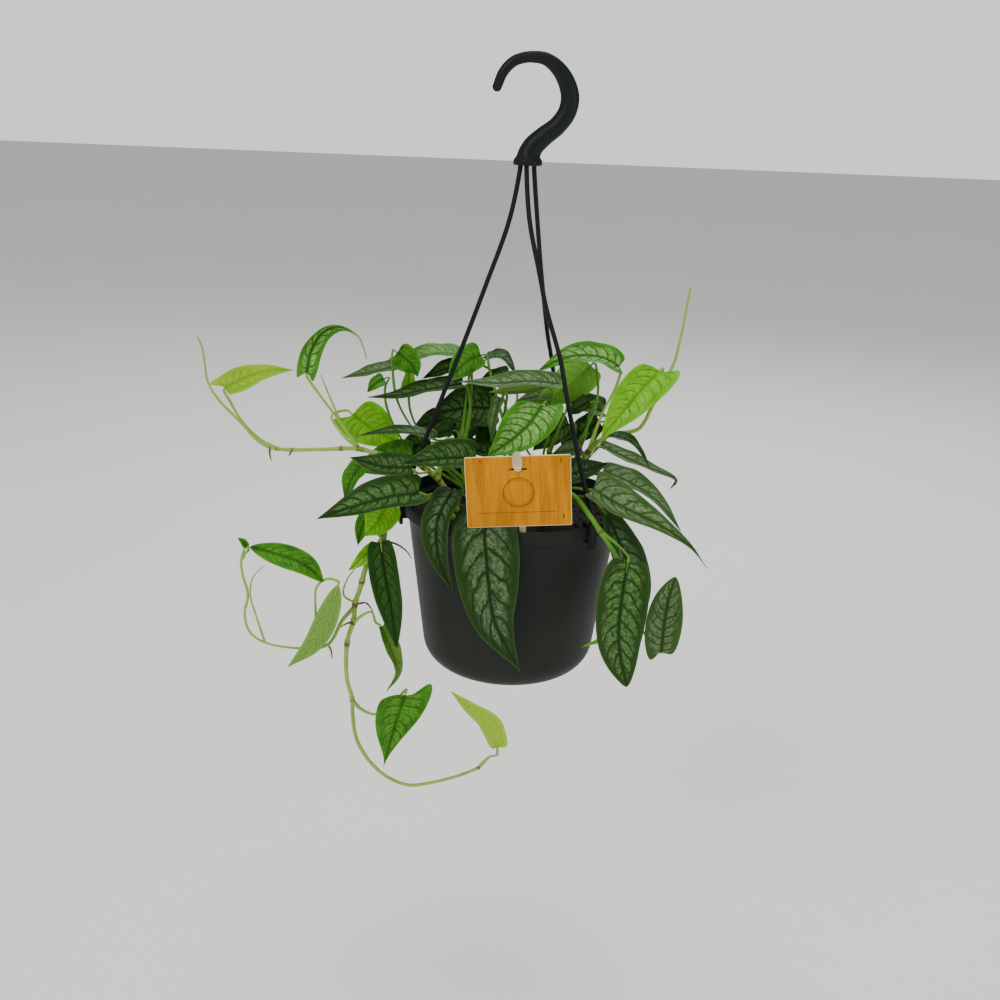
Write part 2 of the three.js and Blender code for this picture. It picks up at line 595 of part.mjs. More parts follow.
const vines = {
  vine_left: {
    radius: [2, 0.6],
    line: [[-30, -2, -302], [-36, -2, -288], [-50, -6, -264], [-68, -12, -250], [-86, -12, -247],
      [-103, -12, -243], [-128, -14, -244], [-156, -16, -244], [-166, -17, -240], [-179, -18, -226],
      [-192, -19, -212], [-198, -20, -201], [-201, -20, -179], [-204, -20, -171]],
    petioles: {
      leaf_far_left: [[-156, -16, -244], [-169, -12, -238], [-181, -9, -226], [-187, -9, -215]],
      leaf_left_arch: [[-103, -12, -242], [-116, -16, -222], [-126, -18, -208]],
      leaf_left_heart: [[-100, -12, -244], [-114, 0, -238], [-124, 14, -228]],
      leaf_left_dark: [[-54, -7.5, -261], [-48, -7, -250]],
      leaf_left_low: [[-58, -10, -257], [-58, -24, -254]],
      leaf_left_hanging: [[-90, -12, -246], [-94, -13, -247]],
    },
    roots: [
      [[-160, -16.5, -243], [-160, -17, -248], [-159, -17, -252]],
      [[-146, -15, -244], [-147, -15, -247], [-148, -15, -249]],
      [[-115, -16, -222], [-122, -15, -206], [-127, -14, -194]],
    ],
    buds: [],
  },
  vine_trailing: {
    radius: [2.1, 1],
    line: [[-26, -14, -304], [-36, -18, -289], [-56, -26, -270], [-72, -31, -267], [-81, -33, -277],
      [-84, -34, -297], [-91, -34, -306], [-95, -34, -317], [-99, -34, -333], [-102, -34, -343],
      [-103, -34, -355], [-107, -34, -370], [-108, -34, -386], [-107, -34, -401], [-104, -34, -412],
      [-103.5, -34, -425], [-100.5, -36, -442.5], [-90.5, -38, -459], [-78, -40, -469], [-64, -42, -473],
      [-51, -44, -470], [-30, -46, -462], [-15, -48, -453.5]],
    petioles: {
      leaf_trail_tip: [[-16, -48, -453.5], [-9, -47, -446]],
      leaf_trail_dark: [[-84, -34, -297], [-88, -38, -291]],
      leaf_trail_thin: [[-103, -34, -357], [-97, -38, -350], [-91, -38, -347]],
      leaf_trail_heart: [[-104, -34, -414], [-97, -36, -420], [-87, -38, -422], [-76, -39, -413]],
      leaf_trail_top: [[-74, -32, -268], [-76, -34, -266]],
      leaf_trail_far: [[-102, -34, -345], [-110, -38, -354], [-119, -42, -370], [-135, -44, -372.5],
        [-160, -46, -368.5], [-169.5, -47, -361], [-172.5, -48, -348], [-170, -48, -334], [-173, -48, -321],
        [-174, -47, -311]],
      leaf_trail_under: [[-123, -42.5, -371], [-126, -42, -359], [-127, -43, -342], [-126, -45, -329],
        [-120, -50, -321], [-115, -53, -319]],
    },
    roots: [
      [[-160, -46, -368.5], [-166, -43, -351], [-170, -41, -337], [-168, -40, -325], [-161, -40, -317]],
      [[-101.5, -34, -343], [-109, -38, -336], [-107, -40, -325], [-101, -42, -315], [-96, -41, -308]],
      [[-86, -34, -298.5], [-76, -34, -300], [-69, -35, -304], [-65, -36, -309]],
      [[-102, -34, -344], [-95, -33, -343], [-90, -33, -349]],
      [[-119, -42, -370], [-117, -42, -374], [-116, -43, -380]],
      [[-103, -34, -356], [-109, -33, -359], [-113, -33, -362]],
    ],
    buds: [
      { width: 10, face: [0, -0.95, 0.3], rib: [[-90, -34, -303], [-97, -38, -310], [-106, -40, -318]] },
    ],
  },
  vine_right: {
    radius: [2, 0.7],
    line: [[18, 6, -302], [24, 4, -288], [38, -2, -262], [48, -10, -239], [59, -15, -227],
      [78, -18, -221], [82, -18, -216], [86, -18, -206], [90, -18, -197], [95, -14, -187],
      [99, -12, -177], [102, -10, -162], [106, -8, -130]],
    petioles: {
      leaf_top_right: [[48, -9, -239], [52, -5, -226], [57, -3, -212], [63, -2, -199]],
      leaf_right_bright: [[90, -18, -198], [92, -20, -193]],
      leaf_right_thin: [[48, -10, -238], [51, -16, -231]],
      leaf_right_back: [[48, -9, -240], [51, 2, -244]],
      leaf_right_silver: [[44, -7, -247], [48, -17, -250]],
    },
    roots: [],
    buds: [],
  },
  vine_front: {
    radius: [2, 1.4],
    line: [[14, -16, -302], [18, -22, -288], [24, -36, -266], [30, -48, -256], [38, -58, -256],
      [46, -64, -264], [54, -69, -274], [61, -68, -284], [68, -66.5, -297], [74, -65, -314]],
    petioles: {
      leaf_front_right: [[54, -69, -274], [64, -70, -281]],
      leaf_right_round: [[74, -65, -313], [80, -56, -334], [92, -45, -355]],
      leaf_right_hanging: [[20, -27, -280], [38, -26, -266], [50, -34, -264]],
      leaf_right_long: [[24, -36, -266], [33, -41, -256], [40, -45, -254]],
      leaf_inner_right: [[21, -29, -276], [24, -29, -262]],
    },
    roots: [],
    buds: [
      { width: 8, face: [0, -0.9, 0.3], rib: [[73.5, -65, -313], [68, -68, -334], [60, -70, -345],
          [47, -70, -352]] },
    ],
  },
  stems_left: {
    radius: [2.2, 1.4],
    line: [[-20, 8, -302], [-27, 10, -287], [-34, 10, -262], [-36, 12, -236]],
    petioles: {
      leaf_top_left: [[-36, 12, -238], [-34, 16, -212], [-33, 20, -190]],
      leaf_top_left_long: [[-35, 11, -246], [-31, 12, -222]],
      leaf_top_left_tip: [[-30, 10, -276], [-56, 22, -254], [-72, 26, -226], [-74, 26, -204]],
      leaf_inner_left: [[-28, 10, -284], [-14, 20, -268]],
    },
    roots: [],
    buds: [
      { width: 11, face: [0, -0.8, 0.5], rib: [[-74, 27, -214], [-73, 23, -206], [-73, 18, -198],
          [-75, 15, -191]] },
    ],
  },
  stems_centre: {
    radius: [2.2, 1.4],
    line: [[0, 14, -302], [-2, 12, -288], [-4, 6, -262], [-2, 8, -236]],
    petioles: {
      leaf_top_bright: [[-3, 7, -240], [-12, 6, -214], [-19, 10, -192]],
      leaf_top_dark: [[-3, 7, -242], [-7, 22, -220], [-18, 36, -198]],
      leaf_top_under: [[-3, 8, -238], [10, 2, -222], [22, 0, -210]],
      leaf_centre_narrow: [[-4, 6, -258], [-10, -10, -230], [-8, -16, -212]],
      leaf_inner_back: [[-3, 8, -254], [-5, 28, -243], [-8, 39, -235]],
    },
    roots: [],
    buds: [],
  },
  stems_right: {
    radius: [2.2, 1.4],
    line: [[34, 14, -302], [30, 14, -288], [26, 10, -262], [22, -2, -240]],
    petioles: {
      leaf_top_long: [[23, 0, -243], [28, -14, -222], [32, -20, -204]],
      leaf_centre_front: [[24, 4, -250], [18, -26, -238], [20, -40, -218]],
      leaf_right_under: [[27, 11, -266], [42, 10, -240], [53, 10, -208]],
      leaf_right_dark: [[28, 12, -272], [52, 26, -252], [65, 30, -234]],
      leaf_back_right: [[29, 13, -280], [18, 28, -264], [7, 38, -250]],
    },
    roots: [],
    buds: [],
  },
  stems_front: {
    radius: [2, 1.2],
    line: [[-8, -24, -304], [-10, -30, -288], [-12, -44, -274]],
    petioles: {
      leaf_front_drape: [[-12, -43, -275], [-14, -52, -270]],
      leaf_front_side: [[-10, -32, -286], [-22, -38, -268], [-29, -44, -263]],
      leaf_front_left: [[-10, -31, -287], [-16, -32, -262], [-20, -38, -246]],
      leaf_left_rim: [[-10, -33, -285], [-30, -40, -272], [-50, -50, -260]],
    },
    roots: [],
    buds: [],
  },
  stems_back: {
    radius: [2, 1.2],
    line: [[-10, 34, -304], [-14, 38, -288], [-16, 44, -268]],
    petioles: {
      leaf_inner_low: [[-16, 42, -272], [-18, 54, -246], [-24, 58, -228]],
      leaf_back_drape: [[-16, 43, -270], [-20, 50, -262]],
    },
    roots: [],
    buds: [],
  },
};

// extra widens every piece and lengthens the buried end, which gives the hole in the soil.
function vineSolid(vine, extra = 0) {
  const [thick, thin] = vine.radius.map((radius) => radius + extra);
  const [first, second] = vine.line.map(vec);
  const start = first.clone().addScaledVector(first.clone().sub(second).normalize(), extra);
  const pieces = [stem([start.toArray(), ...vine.line.slice(1)], thick, thin, 6)];
  for (const [name, way] of Object.entries(vine.petioles)) {
    const points = [...way, ...leafSeat(name)];
    pieces.push(stem(points, petioleFoot + extra, petioleEnd + extra, petioleSides, 1.5));
  }
  for (const way of vine.roots) {
    pieces.push(stem(way, 0.9 + extra, 0.45 + extra, 4, 1.5));
  }
  for (const bud of vine.buds) {
    pieces.push(leafGeometry({ ...leafDefaults, ...bud }));
  }
  return join(pieces.map(solidOf));
}

// Assembly

addPiece('pot', geometryOf(potSolid()), blackPlastic);
addPiece('hanger_hook', geometryOf(hookSolid()), blackPlastic);
for (const [side, strand] of Object.entries(strands)) {
  addPiece(`hanger_strand_${side}`, geometryOf(strandSolid(strand)), blackPlastic);
}
const card = addPiece('label_card', geometryOf(cardSolid()), cardMaterial);
placeLabel(card, cardTilt);
card.position.set(...cardCentre);
card.updateMatrix();
const stake = addPiece('label_stake', geometryOf(stakeSolid()), stakeMaterial);
placeLabel(stake, stakeTilt);
stake.position.set(0, 0, slotHeightFromCentre).applyMatrix4(card.matrix);
stake.updateMatrix();

let soil = soilSolid();
for (const [name, vine] of Object.entries(vines)) {
  addPiece(name, geometryOf(vineSolid(vine)), stemMaterial);
  soil = soil.subtract(vineSolid(vine, fit));
}
const holeDepth = stakeLength + fit;
const stakeHole = box(stakeWidth + 2 * fit, stakeThickness + 2 * fit, holeDepth, 0, 0, -holeDepth / 2);
soil = soil.subtract(solidOf(bent(stakeHole).applyMatrix4(stake.matrix)));
addPiece('soil', geometryOf(soil), soilMaterial);

for (const [name, leaf] of Object.entries(leaves)) {
  addPiece(name, leafGeometry({ ...leafDefaults, ...leaf }), leafMaterials[leaf.tone]);
}

export default group;
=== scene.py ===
import math
from functools import partialmethod, reduce

import bmesh
import bpy
import numpy as np
from mathutils import Matrix


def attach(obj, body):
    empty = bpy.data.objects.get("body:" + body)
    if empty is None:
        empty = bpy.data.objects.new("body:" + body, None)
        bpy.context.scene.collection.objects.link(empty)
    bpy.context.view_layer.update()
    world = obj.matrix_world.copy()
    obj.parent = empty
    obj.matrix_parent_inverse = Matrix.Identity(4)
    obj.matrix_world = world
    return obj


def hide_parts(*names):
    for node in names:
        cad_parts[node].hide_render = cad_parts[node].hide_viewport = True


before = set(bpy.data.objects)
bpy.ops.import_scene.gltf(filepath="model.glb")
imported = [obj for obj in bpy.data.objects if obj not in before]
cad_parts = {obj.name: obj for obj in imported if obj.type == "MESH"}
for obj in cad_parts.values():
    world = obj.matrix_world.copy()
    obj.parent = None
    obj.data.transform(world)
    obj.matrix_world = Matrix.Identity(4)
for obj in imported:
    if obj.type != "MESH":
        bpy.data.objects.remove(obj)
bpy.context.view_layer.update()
mm = 0.001
degrees = math.pi / 180

# Camera: where it stands, how far it looks down and rolls (degrees), and its lens in mm
cameraSet = {"place": (-8.84, -800.0, -23.15), "down": 17.68, "roll": 2.28, "lens": 44.94,
             "sensor": 36, "clip": (0.05, 60)}


def makeCamera(values):
    # Looks along +Y, pitched down; the picture's right and up are turned together by the roll.
    down, roll = values["down"] * degrees, values["roll"] * degrees
    ahead = np.array([0, math.cos(down), -math.sin(down)])
    level, upright = np.array([1.0, 0, 0]), np.array([0, math.sin(down), math.cos(down)])
    right = level * math.cos(roll) + upright * math.sin(roll)
    up = upright * math.cos(roll) - level * math.sin(roll)
    data = bpy.data.cameras.new("camera")
    data.lens, data.sensor_width = values["lens"], values["sensor"]
    data.clip_start, data.clip_end = values["clip"]
    camera = bpy.data.objects.new("camera", data)
    turned = Matrix(np.column_stack([right, up, -ahead]).tolist()).to_4x4()
    camera.matrix_world = Matrix.Translation([v * mm for v in values["place"]]) @ turned
    bpy.context.collection.objects.link(camera)
    bpy.context.scene.camera = camera


makeCamera(cameraSet)
print("camera placed")

# Curves and surfaces

def alongLine(points, shares):
    # Centripetal Catmull-Rom curve through the points, read at shares of its length.
    # Gives the places, the directions and the whole length; columns past xyz ride along.
    p = np.asarray(points, float)
    ends = np.vstack([2 * p[0] - p[1], p, 2 * p[-1] - p[-2]])
    gap = np.maximum(np.linalg.norm(np.diff(ends[:, :3], axis=0), axis=1), 1e-6) ** 0.5
    before, span, after = gap[:-2, None], gap[1:-1, None], gap[2:, None]
    x0, x1, x2, x3 = ends[:-3], ends[1:-2], ends[2:-1], ends[3:]
    leave = ((x1 - x0) / before - (x2 - x0) / (before + span) + (x2 - x1) / span) * span
    arrive = ((x2 - x1) / span - (x3 - x1) / (span + after) + (x3 - x2) / after) * span
    u = np.linspace(0, 1, 40, endpoint=False)[None, :, None]
    cubic, square = (2 * x1 - 2 * x2 + leave + arrive), (3 * x2 - 3 * x1 - 2 * leave - arrive)
    dense = x1[:, None] + leave[:, None] * u + square[:, None] * u ** 2 + cubic[:, None] * u ** 3
    dense = np.vstack([dense.reshape(-1, p.shape[1]), p[-1:]])
    run = np.r_[0, np.cumsum(np.linalg.norm(np.diff(dense[:, :3], axis=0), axis=1))]
    slope = np.gradient(dense[:, :3], run, axis=0)
    want = np.clip(np.asarray(shares, float), 0, 1).ravel() * run[-1]
    place = np.column_stack([np.interp(want, run, dense[:, k]) for k in range(p.shape[1])])
    ahead = np.column_stack([np.interp(want, run, slope[:, k]) for k in range(3)])
    return place, unit(ahead), run[-1]


def unit(v):
    # The same directions, one long.
    return v / np.maximum(np.linalg.norm(v, axis=-1, keepdims=True), 1e-12)


def gridFaces(rows, cols, closed=False):
    # Quads between neighbouring rows of points; closed joins the last column to the first.
    i, j = np.meshgrid(np.arange(rows - 1), np.arange(cols if closed else cols - 1), indexing="ij")
    k = (j + 1) % cols
    corners = [i * cols + j, i * cols + k, (i + 1) * cols + k, (i + 1) * cols + j]
    return np.stack(corners, -1).reshape(-1, 4).tolist()


def fanFaces(pole, ring, flip=False):
    # Triangles from one point to each side of an open or closed row of points.
    turn = [(pole, a, b) for a, b in zip(ring[:-1], ring[1:])]
    return [f[::-1] for f in turn] if flip else turn


def closedRings(rings, ends):
    # A skin over rings of points (ring, point, xyz), closed by one end point at each side.
    rows, sides = rings.shape[:2]
    total = rows * sides
    faces = gridFaces(rows, sides, closed=True) + fanFaces(total, [*range(sides), 0], flip=True)
    faces += fanFaces(total + 1, [*range(total - sides, total), total - sides])
    return np.vstack([rings.reshape(-1, 3), ends]), faces


def circle(count):
    # Cosine and sine of evenly spaced angles
    around = np.arange(count) * 2 * math.pi / count
    return np.cos(around), np.sin(around)


capStations = np.array([0.03, 0.13, 0.3, 0.55, 1.0])     # share of the radius, from the very end


def tube(points, radii, sides=12, perSpan=9, rough=None):
    # A ring of the given radius carried along the curve, rounded off to a point at each end.
    # Radii run with the curve's own stations, and rough adds a lumpy share to the radius.
    count = max(8, perSpan * (len(points) - 1))
    length = alongLine(points, [0])[2]
    first, last = radii[0] / length * capStations, 1 - radii[-1] / length * capStations[::-1]
    shares = np.r_[first, np.linspace(first[-1], last[0], count)[1:-1], last]
    place, ahead, _ = alongLine(points, shares)
    inner = np.minimum(shares / first[-1], (1 - shares) / (1 - last[0]))
    dome = np.sqrt(np.clip(1 - (1 - np.clip(inner, 0, 1)) ** 2, 0, 1))
    radius = np.interp(shares, np.linspace(0, 1, len(radii)), radii) * dome
    if rough is not None:
        radius = radius * (1 + rough(shares))
    flat = np.linalg.svd(ahead)[2][2]              # the direction that the curve turns about
    side = unit(np.cross(ahead, flat))
    up = np.cross(side, ahead)
    cosines, sines = circle(sides)
    ring = side[:, None] * cosines[None, :, None] + up[:, None] * sines[None, :, None]
    rings = place[:, None, :3] + ring * radius[:, None, None]
    verts, faces = closedRings(rings, alongLine(points, [0, 1])[0][:, :3])
    return verts, faces, np.r_[np.repeat(shares, sides), 0, 1]


def turnedRings(profile, segments):
    # A closed shell: the (radius, height) profile carried round +Z; radius 0 is a pole.
    profile = np.asarray(profile, float)
    cosines, sines = circle(segments)
    body = profile[1:-1]
    rings = [body[:, :1] * cosines, body[:, :1] * sines, np.repeat(body[:, 1:], segments, 1)]
    return closedRings(np.stack(rings, -1), [[0, 0, profile[0, 1]], [0, 0, profile[-1, 1]]])


def arcPoints(r, z, radius, fromAngle, toAngle, count):
    # Points of a round stretch about (r, z), from one angle to the other (degrees).
    angle = np.linspace(fromAngle, toAngle, count + 1) * degrees
    return np.column_stack([r + radius * np.cos(angle), z + radius * np.sin(angle)]).tolist()


def makeMesh(name, parts, fields=None):
    # Joins (points in mm, faces) parts in one mesh, with one vertex attribute for each field.
    points, faces, start = [], [], 0
    for verts, polygons in parts:
        points.append(verts)
        faces += [[k + start for k in f] for f in polygons]
        start += len(verts)
    mesh = bpy.data.meshes.new(name)
    mesh.from_pydata((np.vstack(points) * mm).tolist(), [], faces)
    for key, values in (fields or {}).items():
        kind = "FLOAT" if np.ndim(values) == 1 else "FLOAT_VECTOR"
        slot = mesh.attributes.new(key, kind, "POINT")
        slot.data.foreach_set("value" if kind == "FLOAT" else "vector",
                              np.asarray(values, np.float32).ravel())
    mesh.polygons.foreach_set("use_smooth", np.ones(len(mesh.polygons), bool))
    mesh.update()
    return mesh


def addPiece(name, mesh, material, slot, *nodes):
    # One piece of the plant or pot: it rides on the root body and stands for its nodes.
    piece = bpy.data.objects.new(name, mesh)
    mesh.materials.append(material)
    bpy.context.collection.objects.link(piece)
    if nodes:
        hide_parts(*nodes)
    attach(piece, "root")
    return piece


def outward(mesh):
    # Turns every face outwards on a closed mesh.
    work = bmesh.new()
    work.from_mesh(mesh)
    bmesh.ops.recalc_face_normals(work, faces=work.faces)
    work.to_mesh(mesh)
    work.free()
    return mesh


def boolean(operation, *parts):
    # A modifier that joins closed (points in mm, faces) parts to a mesh, or cuts them from it.
    tool = bpy.data.objects.new("tool", outward(makeMesh("tool", parts)))
    bpy.context.collection.objects.link(tool)
    return "BOOLEAN", {"operation": operation, "solver": "EXACT", "object": tool}


def bevel(width, segments):
    # A modifier that rounds the sharp edges, by a width in mm.
    return "BEVEL", {"width": width * mm, "segments": segments, "limit_method": "ANGLE"}


def applied(name, mesh, *modifiers):
    # Runs modifiers, given as (type, settings), over a mesh and gives back the result.
    carrier = bpy.data.objects.new(name, mesh)
    bpy.context.collection.objects.link(carrier)
    for kind, settings in modifiers:
        modifier = carrier.modifiers.new(kind.lower(), kind)
        for key, value in settings.items():
            setattr(modifier, key, value)
    graph = bpy.context.evaluated_depsgraph_get()
    made = bpy.data.meshes.new_from_object(carrier.evaluated_get(graph), depsgraph=graph)
    tools = [settings["object"] for _, settings in modifiers if "object" in settings]
    for used in [carrier, *tools]:
        bpy.data.objects.remove(used)
    made.name = name
    return made


def shadeByAngle(mesh, angle):
    # Smooth faces, with a hard edge wherever two faces meet at more than the angle.
    work = bmesh.new()
    work.from_mesh(mesh)
    for edge in work.edges:
        edge.smooth = len(edge.link_faces) == 2 and edge.calc_face_angle(0) < angle * degrees
    work.to_mesh(mesh)
    work.free()
    mesh.polygons.foreach_set("use_smooth", np.ones(len(mesh.polygons), bool))
    return mesh


# Materials

def rgb(text):
    # "#rrggbb" as it is seen, turned to linear light.
    seen = np.array([int(text[k:k + 2], 16) / 255 for k in (1, 3, 5)])
    return tuple(np.where(seen < 0.04045, seen / 12.92, ((seen + 0.055) / 1.055) ** 2.4)) + (1.0,)


class Finish:
    # A material under construction: each method adds one node and returns its output.
    def __init__(self, name, **fixed):
        self.material = bpy.data.materials.new(name)
        self.material.use_nodes = True
        self.tree = self.material.node_tree
        self.shader = self.tree.nodes["Principled BSDF"]
        for key, value in fixed.items():
            self.shader.inputs[key.replace("_", " ")].default_value = value

    def put(self, socket, value):
        # Links another node's output, or sets the value; None leaves the socket as it is.
        if isinstance(value, bpy.types.NodeSocket):
            self.tree.links.new(value, socket)
        elif value is not None:
            socket.default_value = value

    def node(self, kind, *values, **settings):
        # Values go to the inputs in order, or to the input of a given name; the rest are settings.
        made = self.tree.nodes.new("ShaderNode" + kind)
        for key, value in settings.items():
            if key in made.inputs:
                self.put(made.inputs[key], value)
            else:
                setattr(made, key, value)
        for socket, value in zip(made.inputs, values):
            self.put(socket, value)
        return made

    def math(self, operation, *values, clamp=False):
        return self.node("Math", *values, operation=operation, use_clamp=clamp).outputs[0]

    times, scaled = partialmethod(math, "MULTIPLY"), partialmethod(math, "MULTIPLY_ADD")
    plus, minus = partialmethod(math, "ADD"), partialmethod(math, "SUBTRACT")
    size, most = partialmethod(math, "ABSOLUTE"), partialmethod(math, "MAXIMUM")

    def step(self, value, low, high):
        # 0 below low and 1 above high, smooth between; low may be the larger one.
        made = self.node("MapRange", value, low, high, 0.0, 1.0, interpolation_type="SMOOTHSTEP")
        return made.outputs[0]

    def blend(self, factor, first, second, kind="MIX"):
        made = self.tree.nodes.new("ShaderNodeMix")
        made.data_type, made.blend_type = "RGBA", kind
        for place, value in ((0, factor), (6, first), (7, second)):
            self.put(made.inputs[place], value)
        return made.outputs[2]

    def noise(self, where, scale, detail=3.0, rough=0.55):
        made = self.node("TexNoise", Vector=where, Scale=scale, Detail=detail, Roughness=rough)
        return made.outputs["Fac"]

    def split(self, vector):
        return self.node("SeparateXYZ", vector).outputs

    def join(self, x, y, z):
        return self.node("CombineXYZ", x, y, z).outputs[0]

    def attribute(self, name):
        return self.node("Attribute", attribute_name=name).outputs

    def place(self):
        return self.node("TexCoord").outputs["Object"]

    def bump(self, height, distance, strength=1.0):
        made = self.node("Bump", Strength=strength, Distance=distance, Height=height)
        self.put(self.shader.inputs["Normal"], made.outputs[0])

    def colour(self, value):
        self.put(self.shader.inputs["Base Color"], value)

    def roughness(self, value):
        self.put(self.shader.inputs["Roughness"], value)

# The plant, in mm. A leaf: its tone, width, the way its upper side faces, its rib from stalk to
# tip, then what differs from leafUsual. There fold and cup are how far each half lifts (degrees),
# wave is the ripple of its margin, turn a twist, lobe and skew the heart-shaped base, swell, taper
# and drip the outline, under how far the stalk comes from below, and pairs its side veins.
# A stem: its radius at foot and tip, its line, the stalk of each leaf as far as the blade, its
# aerial roots and its leaf buds.
leafUsual = {"fold": 10, "cup": 10, "wave": 0.7, "turn": 0, "lobe": 0.06, "skew": 0, "swell": 0.45,
             "taper": 0.85, "drip": 0.5, "under": 1.2, "pairs": 9}


# look names the finish a leaf is drawn with: its tone's own colours, or a lighter or darker copy
# chosen for that leaf, which also paints light and shade on it.
def grown(tone, width, face, rib, **other):
    leaf = {"tone": tone, "look": tone, "width": width, "face": face, "rib": rib}
    return {**leafUsual, **leaf, **other}


